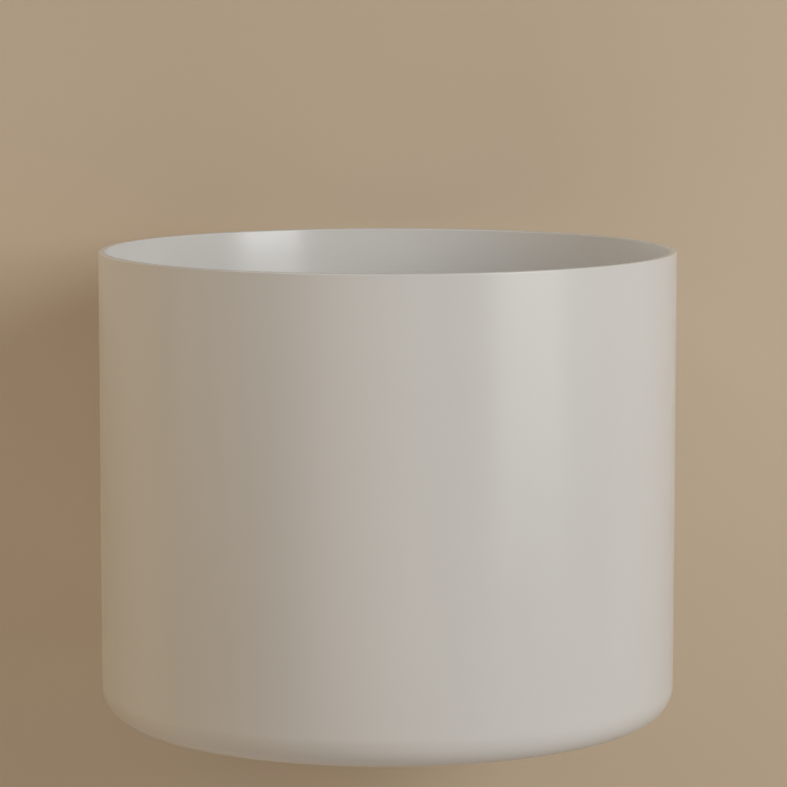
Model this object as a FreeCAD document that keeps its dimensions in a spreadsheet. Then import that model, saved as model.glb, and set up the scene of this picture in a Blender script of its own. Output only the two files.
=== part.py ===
import FreeCAD, Part
import Sketcher
import math
import os

# Wall hung drum basin with its wall fixings, push-open waste and bottle trap.
# The origin lies on the wall, midway between the two fixings: +X right, -Y to the user, +Z up.

SHEET = "Sizes"

DRUM_SIZES = {
    "drum_diameter": 430,
    "rim_height": 205,          # rim above the line of the fixings
    "skirt_depth": 145,         # base below the line of the fixings
    "wall_gap": 2,              # back of the drum to the wall
    "rim_thickness": 5,
    "rim_rounding": 1.2,
    "rim_taper": 60,            # height over which the rim thickens to the shell
    "shell_thickness": 10,
    "base_rounding": 24,
    "lip_thickness": 14,        # inward lip around the open underside
    "base_opening": 330,
    "bowl_depth": 130,          # rim to the edge of the floor
    "floor_fall": 5,
    "floor_thickness": 12,
    "bowl_rounding": 40,
    "vault_rounding": 15,       # under the floor, where it meets the skirt
    "recess_depth": 2,          # seat of the waste in the floor
    "recess_margin": 3,
    "recess_rounding": 1,
    "hole_clearance": 0.5,      # waste hole around the neck of the waste
}

SPINE_SIZES = {
    "spine_top_drop": 40,       # top of the flat back below the rim
    "spine_base_rise": 10,
    "spine_margin": 9,          # beyond the fixing bosses
    "spine_rounding": 3,
    "fixing_pitch": 150,
    "fixing_hole": 24,
    "boss_diameter": 52,
    "boss_rise": 2.7,           # bosses stand this far off the skirt inside
    "notch_clearance": 4,       # notch around the wall rosette
    "notch_overrun": 10,        # notch past the edge of the open underside
}

FIXING_SIZES = {
    "bolt_diameter": 10,        # coarse thread in the wall
    "bolt_thread_diameter": 9.6,    # fine thread that takes the nut
    "bolt_in_wall": 65,
    "bolt_past_nut": 13,
    "bolt_tip": 9,
    "bolt_chamfer": 1.2,
    "bush_flange_lap": 4,       # flange beyond the cast hole
    "bush_flange_thickness": 3,
    "bush_setback": 4,          # bush ends short of the wall
    "washer_inset": 1,          # washer inside the edge of the bush
    "washer_thickness": 2,
    "nut_flats": 17,
    "nut_height": 8,
    "nut_chamfer": 1,
    "bolt_clearance": 0.1,
}

WASTE_SIZES = {
    "flange_lap": 9,            # flange beyond the neck
    "flange_edge": 2,
    "thread_diameter": 41.9,
    "thread_clearance": 0.15,
    "waste_bore": 34,
    "seat_land": 4.5,           # flat edge of the flange around the seat
    "seat_depth": 3.5,
    "neck_shoulder": 1.55,      # plain neck under the flange beyond the thread
    "neck_length": 5,
    "neck_taper": 3,
    "top_seal_thickness": 1,
    "top_seal_inset": 1.5,
    "waste_tail": 50,           # threaded tube below the underside of the floor
    "under_seal_diameter": 66,
    "under_seal_height": 6,
    "under_seal_taper": 3,
    "slip_washer_thickness": 2,
    "back_nut_flats": 54,
    "back_nut_height": 10,
    "back_nut_chamfer": 2,
    "hub_wall": 2,
    "hub_height": 10,
    "hub_drop": 31,             # top of the hub below the flange
    "web_thickness": 3,
}

PLUG_SIZES = {
    "sleeve_diameter": 18,
    "sleeve_wall": 2.5,
    "sleeve_height": 24,
    "sleeve_floor": 3,
    "spigot_diameter": 10,
    "guide_clearance": 0.2,
    "screw_clearance": 0.1,     # screwed joints of the sleeve and the stem
    "stem_diameter": 6,
    "stem_end_rise": 1,
    "collar_thickness": 2,
    "spring_wire": 0.8,
    "spring_length": 9,         # pressed together, with the plug closed
    "spring_turns": 5,
    "cap_inset": 0.5,           # cap inside the edge of the flange
    "cap_lift": 0.6,            # underside of the cap above the flange
    "cap_edge": 1.2,
    "cap_crown": 4.2,
    "cap_core_depth": 3,
    "cap_core_lap": 0.9,        # core of the cap beyond the bore of the waste
    "plug_seal_inset": 1,       # rubber ring inside the edge of the seat
    "seat_clearance": 0.3,
}

TRAP_SIZES = {
    "pipe_diameter": 32,
    "pipe_wall": 1.6,
    "pipe_clearance": 0.3,
    "seal_clearance": 0.1,
    "coupling_diameter": 54,
    "coupling_lip": 4,
    "coupling_depth": 18,
    "grip_height": 2,
    "grip_root": 1,             # grips start this far inside the wall
    "grip_lip_rise": 2,         # grips end this far up the lip
    "grip_width": 3,
    "grip_count": 12,
    "flat_seal_thickness": 3,
    "ring_seal_thickness": 6,
    "dip_flange_thickness": 2.5,
    "dip_wall": 2,
    "neck_gap": 2.5,            # between the two couplings on the dip tube
    "neck_height": 16,          # top of the neck to the straight body
    "shoulder_height": 4,
    "trap_diameter": 64,
    "trap_wall": 3,
    "outlet_cover": 2.05,       # body above and below the outlet branch
    "branch_reach": 60,         # waste axis to the end of the branch
    "cup_collar_height": 12,
    "cup_collar_inset": 1,
    "cup_wall": 4,
    "cup_gap": 1,
    "cup_inset": 1,             # wall of the cup inside the wall of the body
    "cup_ledge": 3,
    "cup_floor_flare": 1.5,
    "cup_floor": 3,
    "water_seal": 50,
    "cup_clearance": 15,        # end of the dip tube to the floor of the cup
    "pipe_overlap": 8,
    "pipe_in_wall": 60,
    "pipe_mark_width": 2,       # groove that marks how far the pipe goes into the wall
    "pipe_mark_depth": 0.3,
    "rosette_diameter": 62,
    "rosette_height": 10,
    "rosette_shoulder": 5,      # flat front beyond the pipe
    "rosette_wall": 1.5,
    "rosette_front_wall": 0.75,
    "rosette_rim_wall": 3,
    "rosette_edge": 1.5,
}

CUT_OVERRUN = 1.0               # cuts run this far past the faces that they open
CHAMFER_SLOPE = 0.5             # rise of a nut's chamfer for its width
NEAR = 1e-4
SAME_RING = 1e-3                # how near an edge lies to the ring that is asked for


class Size:
    """A length known both as a number and as an expression over the sheet."""

    def __init__(self, value, text):
        self.value = float(value)
        self.text = text

    @staticmethod
    def of(thing):
        """Return thing as a Size, whether it is one already or a number."""
        return thing if isinstance(thing, Size) else Size(thing, repr(float(thing)))

    def __add__(self, other):
        other = Size.of(other)
        return Size(self.value + other.value, f"({self.text} + {other.text})")

    def __sub__(self, other):
        other = Size.of(other)
        return Size(self.value - other.value, f"({self.text} - {other.text})")

    def __mul__(self, other):
        other = Size.of(other)
        return Size(self.value * other.value, f"({self.text} * {other.text})")

    def __truediv__(self, other):
        other = Size.of(other)
        return Size(self.value / other.value, f"({self.text} / {other.text})")

    def __neg__(self):
        return Size(-self.value, f"(-1 * {self.text})")

    def root(self):
        """Square root, for a place on a round wall."""
        return Size(math.sqrt(self.value), f"sqrt({self.text})")

    __radd__ = __add__
    __rmul__ = __mul__

    def __rsub__(self, other):
        return Size.of(other) - self


ZERO = Size(0, "0")

doc = FreeCAD.newDocument("wall_hung_basin")


def fill_sheet(groups):
    """Write every driving dimension to the sheet and return them by name."""
    sheet = doc.addObject("Spreadsheet::Sheet", SHEET)
    sizes = {}
    row = 0
    for group in groups:
        for name, value in group.items():
            row += 1
            sheet.set(f"A{row}", name)
            sheet.set(f"B{row}", str(value))
            sheet.setAlias(f"B{row}", name)
            sizes[name] = Size(value, f"{SHEET}.{name}")
    doc.recompute()
    return sizes


s = fill_sheet([DRUM_SIZES, SPINE_SIZES, FIXING_SIZES, WASTE_SIZES, PLUG_SIZES, TRAP_SIZES])
parts = []


# ---------------------------------------------------------------- drawing helpers

def bind(thing, prop, size):
    """Drive one property from the sheet."""
    thing.setExpression(prop, Size.of(size).text)


def new_body(label, x=ZERO, y=ZERO, z=ZERO, rotation=None):
    """Start a named piece with its own placement; its centre is bound to the sheet."""
    body = doc.addObject("PartDesign::Body", label)
    body.Label = label
    turn = rotation or FreeCAD.Rotation()
    body.Placement = FreeCAD.Placement(FreeCAD.Vector(x.value, y.value, z.value), turn)
    for axis, size in (("x", x), ("y", y), ("z", z)):
        bind(body, f"Placement.Base.{axis}", size)
    parts.append(body)
    return body


def origin_feature(body, role):
    """Return one of the body's own origin planes or axes."""
    return next(one for one in body.Origin.OriginFeatures if one.Role == role)


def new_sketch(body, name, plane="XZ_Plane", shift=(ZERO, ZERO, ZERO)):
    """Attach a sketch to an origin plane, moved by a bound shift in its own axes."""
    sketch = body.newObject("Sketcher::SketchObject", f"{body.Name}_{name}")
    sketch.AttachmentSupport = [(origin_feature(body, plane), "")]
    sketch.MapMode = "FlatFace"
    for axis, size in zip("xyz", shift):
        bind(sketch, f"AttachmentOffset.Base.{axis}", size)
    return sketch


def pin(sketch, geometry, point, x, y):
    """Fix a point of the sketch at a bound place."""
    for kind, size, axis in (("DistanceX", x, -2), ("DistanceY", y, -1)):
        if abs(size.value) < NEAR:
            sketch.addConstraint(Sketcher.Constraint("PointOnObject", geometry, point, axis))
            continue
        index = sketch.addConstraint(
            Sketcher.Constraint(kind, -1, 1, geometry, point, size.value))
        bind(sketch, f"Constraints[{index}]", size)


def draw_outline(sketch, corners):
    """Draw one closed outline of straight lines through bound corners."""
    first = sketch.GeometryCount
    count = len(corners)
    places = [(Size.of(x), Size.of(y)) for x, y in corners]
    for index in range(count):
        ends = places[index], places[(index + 1) % count]
        vectors = [FreeCAD.Vector(x.value, y.value, 0) for x, y in ends]
        sketch.addGeometry(Part.LineSegment(*vectors), False)
    for index in range(count):
        following = first + (index + 1) % count
        sketch.addConstraint(Sketcher.Constraint("Coincident", first + index, 2, following, 1))
    for index, (x, y) in enumerate(places):
        pin(sketch, first + index, 1, x, y)


def draw_circle(sketch, x, y, radius):
    """Draw a circle with a bound centre and radius."""
    centre = FreeCAD.Vector(x.value, y.value, 0)
    circle = Part.Circle(centre, FreeCAD.Vector(0, 0, 1), radius.value)
    index = sketch.addGeometry(circle, False)
    pin(sketch, index, 3, x, y)
    held = sketch.addConstraint(Sketcher.Constraint("Radius", index, radius.value))
    bind(sketch, f"Constraints[{held}]", radius)


def draw_box(sketch, left, right, low, high):
    """Draw a rectangle between bound sides."""
    draw_outline(sketch, [(left, low), (right, low), (right, high), (left, high)])


def draw_hexagon(sketch, flats):
    """Draw a hexagon centred on the sketch, given across its flats."""
    reach = flats / math.sqrt(3)
    turns = [math.radians(60 * index) for index in range(6)]
    draw_outline(sketch, [(reach * math.cos(turn), reach * math.sin(turn)) for turn in turns])


def add_revolution(body, sketch, kind="Revolution"):
    """Turn a sketch about its own upright axis, to add or to cut (Groove)."""
    feature = body.newObject(f"PartDesign::{kind}", f"{sketch.Name}_{kind}")
    feature.Profile = (sketch, [""])
    feature.ReferenceAxis = (sketch, ["V_Axis"])
    feature.Angle = 360
    doc.recompute()
    return feature


def add_extrusion(body, sketch, length, kind="Pad", backwards=False):
    """Pad or pocket a sketch over a bound length."""
    feature = body.newObject(f"PartDesign::{kind}", f"{sketch.Name}_{kind}")
    feature.Profile = (sketch, [""])
    bind(feature, "Length", length)
    feature.Reversed = backwards
    doc.recompute()
    return feature


def add_turned(body, corners, name="profile", plane="XZ_Plane", shift=(ZERO, ZERO, ZERO)):
    """Turn a closed outline of (radius, height) corners about the upright axis."""
    sketch = new_sketch(body, name, plane, shift)
    draw_outline(sketch, corners)
    return add_revolution(body, sketch)


def ring_edges(feature, rings):
    """Name the feature's full circles about the upright axis at (radius, height)."""
    names = []
    for radius, height in rings:
        radius = Size.of(radius).value
        height = Size.of(height).value
        for index, edge in enumerate(feature.Shape.Edges, start=1):
            curve = edge.Curve
            if not isinstance(curve, Part.Circle) or abs(curve.Axis.z) < 1 - NEAR:
                continue
            centre = curve.Center
            off = math.hypot(centre.x, centre.y) + abs(curve.Radius - radius) + abs(centre.z - height)
            if off < SAME_RING:
                names.append(f"Edge{index}")
    return names


def straight_edges(feature, keep):
    """Name the feature's straight edges whose middle point and direction pass a test."""
    names = []
    for index, edge in enumerate(feature.Shape.Edges, start=1):
        if not isinstance(edge.Curve, Part.Line):
            continue
        middle = edge.valueAt((edge.FirstParameter + edge.LastParameter) / 2)
        if keep(middle, edge.Curve.Direction):
            names.append(f"Edge{index}")
    return names


def add_rounding(body, feature, names, radius, label):
    """Round named edges with a bound radius."""
    rounding = body.newObject("PartDesign::Fillet", f"{body.Name}_{label}")
    rounding.Base = (feature, names)
    bind(rounding, "Radius", radius)
    doc.recompute()
    return rounding


def mirror_across(body, *features):
    """Repeat features on the other side of the middle plane, as a second solid."""
    body.AllowCompound = True
    mirrored = body.newObject("PartDesign::Mirrored", f"{body.Name}_pair")
    mirrored.Originals = list(features)
    mirrored.MirrorPlane = (origin_feature(body, "YZ_Plane"), [""])
    body.Tip = mirrored
    doc.recompute()


# ---------------------------------------------------------------- shared places

drum_radius = s["drum_diameter"] / 2
axis_y = -(drum_radius + s["wall_gap"])
rim_z = s["rim_height"]
base_z = -s["skirt_depth"]
shell_radius = drum_radius - s["shell_thickness"]
thread_radius = s["thread_diameter"] / 2
thread_bore = thread_radius + s["thread_clearance"]
neck_radius = thread_radius + s["neck_shoulder"]
flange_radius = neck_radius + s["flange_lap"]
seat_radius = flange_radius - s["seat_land"]
recess_radius = flange_radius + s["recess_margin"]
floor_edge_z = rim_z - s["bowl_depth"]
floor_low_z = floor_edge_z - s["floor_fall"]
seat_z = floor_low_z - s["recess_depth"]
under_z = seat_z - s["floor_thickness"]
fixing_x = s["fixing_pitch"] / 2
bush_edge = s["fixing_hole"] / 2 + s["bush_flange_lap"]
bush_reach_x = fixing_x + bush_edge
boss_reach = s["boss_rise"] - axis_y - (shell_radius * shell_radius - bush_reach_x * bush_reach_x).root()
tail_z = under_z - s["waste_tail"]
flange_face = tail_z - s["flat_seal_thickness"]
inlet_face = flange_face - s["dip_flange_thickness"]
neck_face = inlet_face - s["coupling_lip"] - s["neck_gap"] - s["coupling_lip"]
neck_top = neck_face - s["ring_seal_thickness"]
body_high = neck_top - s["neck_height"]
outlet_z = body_high - s["outlet_cover"] - thread_radius
TO_WALL = FreeCAD.Rotation(FreeCAD.Vector(1, 0, 0), -90)
UPSIDE_DOWN = FreeCAD.Rotation(FreeCAD.Vector(1, 0, 0), 180)


# ---------------------------------------------------------------- the basin

def make_basin():
    """Cast drum: bowl above, hollow skirt below, flat spine with bosses at the back."""
    body = new_body("basin_body", y=axis_y)
    drum = add_turned(body, [(ZERO, base_z), (drum_radius, base_z),
                             (drum_radius, rim_z), (ZERO, rim_z)], "drum")
    add_rounding(body, drum, ring_edges(drum, [(drum_radius, base_z)]),
                 s["base_rounding"], "base_edge")

    spine_half = s["fixing_pitch"] / 2 + s["boss_diameter"] / 2 + s["spine_margin"]
    spine_low = base_z + s["spine_base_rise"]
    spine_high = rim_z - s["spine_top_drop"]
    spine_sketch = new_sketch(body, "spine", shift=(ZERO, ZERO, axis_y))
    draw_box(spine_sketch, -spine_half, spine_half, spine_low, spine_high)
    spine = add_extrusion(body, spine_sketch, boss_reach)
    on_wall = straight_edges(spine, lambda point, way: abs(point.y + axis_y.value) < NEAR)
    add_rounding(body, spine, on_wall, s["spine_rounding"], "spine_edges")

    inner_rim = drum_radius - s["rim_thickness"]
    bowl_sketch = new_sketch(body, "bowl")
    draw_outline(bowl_sketch, [
        (ZERO, rim_z + CUT_OVERRUN),
        (inner_rim, rim_z + CUT_OVERRUN),
        (inner_rim, rim_z),
        (shell_radius, rim_z - s["rim_taper"]),
        (shell_radius, floor_edge_z),
        (recess_radius, floor_low_z),
        (recess_radius, seat_z),
        (ZERO, seat_z),
    ])
    bowl = add_revolution(body, bowl_sketch, "Groove")
    bowl = add_rounding(body, bowl, ring_edges(bowl, [(shell_radius, floor_edge_z)]),
                        s["bowl_rounding"], "bowl_corner")
    bowl = add_rounding(body, bowl, ring_edges(bowl, [(recess_radius, floor_low_z)]),
                        s["recess_rounding"], "recess_edge")
    add_rounding(body, bowl, ring_edges(bowl, [(drum_radius, rim_z), (inner_rim, rim_z)]),
                 s["rim_rounding"], "rim_edges")

    vault_sketch = new_sketch(body, "vault")
    draw_outline(vault_sketch, [
        (ZERO, base_z - CUT_OVERRUN),
        (s["base_opening"] / 2, base_z - CUT_OVERRUN),
        (s["base_opening"] / 2, base_z + s["lip_thickness"]),
        (shell_radius, base_z + s["lip_thickness"]),
        (shell_radius, under_z + s["floor_fall"]),
        (recess_radius, under_z),
        (ZERO, under_z),
    ])
    vault = add_revolution(body, vault_sketch, "Groove")
    add_rounding(body, vault, ring_edges(vault, [(shell_radius, under_z + s["floor_fall"])]),
                 s["vault_rounding"], "vault_corner")

    boss_sketch = new_sketch(body, "bosses", shift=(ZERO, ZERO, axis_y))
    for side in (-1, 1):
        draw_circle(boss_sketch, side * fixing_x, ZERO, s["boss_diameter"] / 2)
    add_extrusion(body, boss_sketch, boss_reach)

    hole_sketch = new_sketch(body, "fixing_holes", shift=(ZERO, ZERO, axis_y))
    for side in (-1, 1):
        draw_circle(hole_sketch, side * fixing_x, ZERO, s["fixing_hole"] / 2)
    add_extrusion(body, hole_sketch, boss_reach + CUT_OVERRUN, "Pocket", backwards=True)

    add_notch(body)

    drain_sketch = new_sketch(body, "drain", "XY_Plane", (ZERO, ZERO, seat_z))
    draw_circle(drain_sketch, ZERO, ZERO, neck_radius + s["hole_clearance"])
    add_extrusion(body, drain_sketch, s["floor_thickness"] + CUT_OVERRUN, "Pocket")


def add_notch(body):
    """Cut the arched way for the waste pipe through the back of the skirt."""
    half = s["rosette_diameter"] / 2 + s["notch_clearance"]
    low = base_z - CUT_OVERRUN
    sketch = new_sketch(body, "notch", shift=(ZERO, ZERO, axis_y))
    corners = [(-half, outlet_z), (-half, low), (half, low), (half, outlet_z)]
    vectors = [FreeCAD.Vector(x.value, y.value, 0) for x, y in corners]
    for start, end in zip(vectors, vectors[1:]):
        sketch.addGeometry(Part.LineSegment(start, end), False)
    centre = FreeCAD.Vector(0, outlet_z.value, 0)
    circle = Part.Circle(centre, FreeCAD.Vector(0, 0, 1), half.value)
    arch = sketch.addGeometry(Part.ArcOfCircle(circle, 0, math.pi), False)
    sketch.addConstraint(Sketcher.Constraint("Coincident", 0, 2, 1, 1))
    sketch.addConstraint(Sketcher.Constraint("Coincident", 1, 2, 2, 1))
    sketch.addConstraint(Sketcher.Constraint("Coincident", 2, 2, arch, 1))
    sketch.addConstraint(Sketcher.Constraint("Coincident", arch, 2, 0, 1))
    for index, (x, y) in enumerate(corners[:3]):
        pin(sketch, index, 1, x, y)
    pin(sketch, 2, 2, *corners[3])
    held = sketch.addConstraint(
        Sketcher.Constraint("DistanceY", -1, 1, arch, 3, outlet_z.value))
    bind(sketch, f"Constraints[{held}]", outlet_z)
    lip_edge = -axis_y - s["base_opening"] / 2
    add_extrusion(body, sketch, lip_edge + s["notch_overrun"], "Pocket", backwards=True)


# ---------------------------------------------------------------- wall fixings

def make_fixings():
    """Two of each: stud into the wall, bush in the cast hole, washer and nut."""
    bolt_radius = s["bolt_diameter"] / 2
    front_radius = s["bolt_thread_diameter"] / 2
    bore = front_radius + s["bolt_clearance"]
    bush_face = -(boss_reach + s["bush_flange_thickness"])
    washer_face = bush_face - s["washer_thickness"]
    nut_face = washer_face - s["nut_height"]
    bolt_front = nut_face - s["bolt_past_nut"]
    on_fixing = (fixing_x, ZERO, ZERO)

    bolts = new_body("hanger_bolts")
    bolt_end = s["bolt_in_wall"]
    mirror_across(bolts, add_turned(bolts, [
        (ZERO, bolt_front),
        (front_radius - s["bolt_chamfer"], bolt_front),
        (front_radius, bolt_front + s["bolt_chamfer"]),
        (front_radius, ZERO),
        (bolt_radius, ZERO),
        (bolt_radius, bolt_end - s["bolt_tip"]),
        (ZERO, bolt_end),
    ], plane="XY_Plane", shift=on_fixing))

    bushes = new_body("fixing_bushes")
    bush_radius = s["fixing_hole"] / 2 - s["bolt_clearance"]
    mirror_across(bushes, add_turned(bushes, [
        (bore, bush_face),
        (bush_edge, bush_face),
        (bush_edge, -boss_reach),
        (bush_radius, -boss_reach),
        (bush_radius, -s["bush_setback"]),
        (bore, -s["bush_setback"]),
    ], plane="XY_Plane", shift=on_fixing))

    washers = new_body("fixing_washers")
    mirror_across(washers, add_turned(washers, [
        (bore, washer_face),
        (bush_edge - s["washer_inset"], washer_face),
        (bush_edge - s["washer_inset"], bush_face),
        (bore, bush_face),
    ], plane="XY_Plane", shift=on_fixing))

    nuts = new_body("fixing_nuts")
    nuts.AllowCompound = True
    blank = add_turned(nuts, nut_outline(s["nut_flats"], bore, nut_face, washer_face, s["nut_chamfer"]),
                       plane="XY_Plane", shift=on_fixing)
    flats = cut_flats(nuts, s["nut_flats"], s["nut_height"],
                      "XZ_Plane", (fixing_x, ZERO, -nut_face))
    mirror_across(nuts, blank, flats)


def nut_outline(flats, bore, low, high, chamfer):
    """Outline of a nut blank: as wide as its corners, with both faces chamfered."""
    corner = flats / math.sqrt(3)
    face = corner - chamfer
    rise = chamfer * CHAMFER_SLOPE
    return [(bore, low), (face, low), (corner, low + rise),
            (corner, high - rise), (face, high), (bore, high)]


def cut_flats(body, flats, height, plane, shift):
    """Cut a turned blank to six flats."""
    sketch = new_sketch(body, "flats", plane, shift)
    draw_hexagon(sketch, flats)
    draw_circle(sketch, ZERO, ZERO, flats)
    return add_extrusion(body, sketch, height, "Pocket")


# ---------------------------------------------------------------- waste

flange_z = seat_z + s["top_seal_thickness"]
flange_top = flange_z + s["flange_edge"]
bore_radius = s["waste_bore"] / 2
hub_top = flange_z - s["hub_drop"]
hub_low = hub_top - s["hub_height"]
spigot_radius = s["spigot_diameter"] / 2
sleeve_radius = s["sleeve_diameter"] / 2
sleeve_bore = sleeve_radius - s["sleeve_wall"]
stem_radius = s["stem_diameter"] / 2
floor_z = hub_top + s["sleeve_floor"]


def make_waste():
    """Flanged tube clamped through the floor, with its seals, washer and back nut."""
    waste = new_body("waste_body", y=axis_y)
    add_turned(waste, [
        (bore_radius, tail_z),
        (thread_radius, tail_z),
        (thread_radius, flange_z - s["neck_length"] - s["neck_taper"]),
        (neck_radius, flange_z - s["neck_length"]),
        (neck_radius, flange_z),
        (flange_radius, flange_z),
        (flange_radius, flange_top),
        (seat_radius, flange_top),
        (bore_radius, flange_top - s["seat_depth"]),
    ])
    hub_sketch = new_sketch(waste, "hub", "XY_Plane", (ZERO, ZERO, hub_low))
    hub_bore = spigot_radius + s["screw_clearance"]
    draw_circle(hub_sketch, ZERO, ZERO, hub_bore + s["hub_wall"])
    add_extrusion(waste, hub_sketch, s["hub_height"])
    reach = (bore_radius + thread_radius) / 2
    half_web = s["web_thickness"] / 2
    for name, across, along in (("web_x", reach, half_web), ("web_y", half_web, reach)):
        web_sketch = new_sketch(waste, name, "XY_Plane", (ZERO, ZERO, hub_low))
        draw_box(web_sketch, -across, across, -along, along)
        add_extrusion(waste, web_sketch, s["hub_height"])
    bore_sketch = new_sketch(waste, "hub_bore", "XY_Plane", (ZERO, ZERO, hub_top))
    draw_circle(bore_sketch, ZERO, ZERO, hub_bore)
    add_extrusion(waste, bore_sketch, s["hub_height"], "Pocket")

    top_seal = new_body("waste_top_seal", y=axis_y)
    seal_radius = flange_radius - s["top_seal_inset"]
    inner = neck_radius + s["thread_clearance"]
    add_turned(top_seal, [(inner, seat_z), (seal_radius, seat_z),
                          (seal_radius, flange_z), (inner, flange_z)])

    under_seal = new_body("waste_under_seal", y=axis_y)
    seal_low = under_z - s["under_seal_height"]
    under_radius = s["under_seal_diameter"] / 2
    taper = s["under_seal_taper"]
    add_turned(under_seal, [
        (thread_bore, seal_low),
        (under_radius, seal_low),
        (under_radius, seal_low + taper),
        (under_radius - taper, under_z),
        (thread_bore, under_z),
    ])

    washer = new_body("waste_slip_washer", y=axis_y)
    washer_low = seal_low - s["slip_washer_thickness"]
    add_turned(washer, [(thread_bore, washer_low), (under_radius, washer_low),
                        (under_radius, seal_low), (thread_bore, seal_low)])

    back_nut = new_body("waste_back_nut", y=axis_y)
    nut_low = washer_low - s["back_nut_height"]
    add_turned(back_nut, nut_outline(s["back_nut_flats"], thread_bore, nut_low, washer_low,
                                     s["back_nut_chamfer"]))
    cut_flats(back_nut, s["back_nut_flats"], s["back_nut_height"], "XY_Plane",
              (ZERO, ZERO, washer_low))


def make_cartridge():
    """Sleeve screwed into the hub, with the spring that lifts the plug."""
    guide = stem_radius + s["guide_clearance"]
    sleeve = new_body("cartridge_sleeve", y=axis_y)
    add_turned(sleeve, [
        (guide, hub_low),
        (spigot_radius, hub_low),
        (spigot_radius, hub_top),
        (sleeve_radius, hub_top),
        (sleeve_radius, hub_top + s["sleeve_height"]),
        (sleeve_bore, hub_top + s["sleeve_height"]),
        (sleeve_bore, floor_z),
        (guide, floor_z),
    ])

    spring = new_body("cartridge_spring", y=axis_y)
    wire_radius = s["spring_wire"] / 2
    coil_height = s["spring_length"] - s["spring_wire"]
    sketch = new_sketch(spring, "wire")
    draw_circle(sketch, (stem_radius + sleeve_bore) / 2, floor_z + wire_radius, wire_radius)
    coil = spring.newObject("PartDesign::AdditiveHelix", "cartridge_spring_coil")
    coil.Profile = (sketch, [""])
    coil.ReferenceAxis = (sketch, ["V_Axis"])
    coil.Mode = 2
    bind(coil, "Height", coil_height)
    bind(coil, "Turns", s["spring_turns"])
    doc.recompute()


def make_plug():
    """Domed cap on a stem, with the rubber ring that closes on the conical seat."""
    cap_under = flange_top + s["cap_lift"]
    core_low = cap_under - s["cap_core_depth"]
    core_radius = bore_radius + s["cap_core_lap"]
    cap_radius = flange_radius - s["cap_inset"]
    edge_top = cap_under + s["cap_edge"]
    stem_bore = stem_radius + s["screw_clearance"]
    stem_top = edge_top

    cap = new_body("plug_cap", y=axis_y)
    add_turned(cap, [
        (ZERO, stem_top),
        (stem_bore, stem_top),
        (stem_bore, core_low),
        (core_radius, core_low),
        (core_radius, cap_under),
        (cap_radius, cap_under),
        (cap_radius, edge_top),
        (ZERO, edge_top + s["cap_edge"]),
    ])
    add_dome(cap, cap_radius, edge_top, s["cap_crown"])

    seal = new_body("plug_seal", y=axis_y)
    slope = s["seat_depth"] / (seat_radius - bore_radius)
    seal_radius = seat_radius - s["plug_seal_inset"]
    edge_z = flange_top - slope * (seat_radius - seal_radius) + s["seat_clearance"]
    low_radius = seal_radius - (edge_z - core_low) / slope
    seal_bore = core_radius + s["seal_clearance"]
    add_turned(seal, [(seal_bore, core_low), (low_radius, core_low), (seal_radius, edge_z),
                      (seal_radius, cap_under), (seal_bore, cap_under)])

    stem = new_body("plug_stem", y=axis_y)
    collar_low = floor_z + s["spring_length"]
    collar_radius = sleeve_bore - s["guide_clearance"]
    add_turned(stem, [
        (ZERO, hub_low + s["stem_end_rise"]),
        (stem_radius, hub_low + s["stem_end_rise"]),
        (stem_radius, collar_low),
        (collar_radius, collar_low),
        (collar_radius, collar_low + s["collar_thickness"]),
        (stem_radius, collar_low + s["collar_thickness"]),
        (stem_radius, stem_top),
        (ZERO, stem_top),
    ])


def add_dome(body, radius, low, crown):
    """Top a turned piece with a shallow dome of bound radius and rise."""
    bend = (radius * radius + crown * crown) / (2 * crown)
    centre_z = low + crown - bend
    sketch = new_sketch(body, "dome")
    half_angle = math.asin(radius.value / bend.value)
    circle = Part.Circle(FreeCAD.Vector(0, centre_z.value, 0), FreeCAD.Vector(0, 0, 1), bend.value)
    arc = sketch.addGeometry(
        Part.ArcOfCircle(circle, math.pi / 2 - half_angle, math.pi / 2), False)
    corners = [FreeCAD.Vector(0, (low + crown).value, 0), FreeCAD.Vector(0, low.value, 0),
               FreeCAD.Vector(radius.value, low.value, 0)]
    for start, end in zip(corners, corners[1:]):
        sketch.addGeometry(Part.LineSegment(start, end), False)
    sketch.addConstraint(Sketcher.Constraint("Coincident", arc, 2, 1, 1))
    sketch.addConstraint(Sketcher.Constraint("Coincident", 1, 2, 2, 1))
    sketch.addConstraint(Sketcher.Constraint("Coincident", 2, 2, arc, 1))
    pin(sketch, 1, 1, ZERO, low + crown)
    pin(sketch, 2, 1, ZERO, low)
    pin(sketch, 2, 2, radius, low)
    sketch.addConstraint(Sketcher.Constraint("PointOnObject", arc, 3, -2))
    add_revolution(body, sketch)


# ---------------------------------------------------------------- trap

pipe_radius = s["pipe_diameter"] / 2
lip_bore = pipe_radius + s["pipe_clearance"]
seal_bore = pipe_radius + s["seal_clearance"]
trap_radius = s["trap_diameter"] / 2
body_low = outlet_z - thread_radius - s["outlet_cover"]
collar_low = body_low - s["cup_collar_height"]
collar_radius = trap_radius - s["cup_collar_inset"]
weir_z = outlet_z - pipe_radius + s["pipe_wall"]
dip_end = weir_z - s["water_seal"]
cup_floor_z = dip_end - s["cup_clearance"]
branch_y = axis_y + s["branch_reach"]
outlet_face = branch_y + s["ring_seal_thickness"]


def make_coupling(label, y, z, rotation=None):
    """Gripped union nut: lip above the local origin, thread below it."""
    body = new_body(label, y=y, z=z, rotation=rotation)
    outer = s["coupling_diameter"] / 2
    add_turned(body, [
        (lip_bore, s["coupling_lip"]),
        (lip_bore, ZERO),
        (thread_bore, ZERO),
        (thread_bore, -s["coupling_depth"]),
        (outer, -s["coupling_depth"]),
        (outer, s["coupling_lip"]),
    ])
    add_grips(body, outer, -s["coupling_depth"], s["coupling_depth"] + s["grip_lip_rise"])


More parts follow.
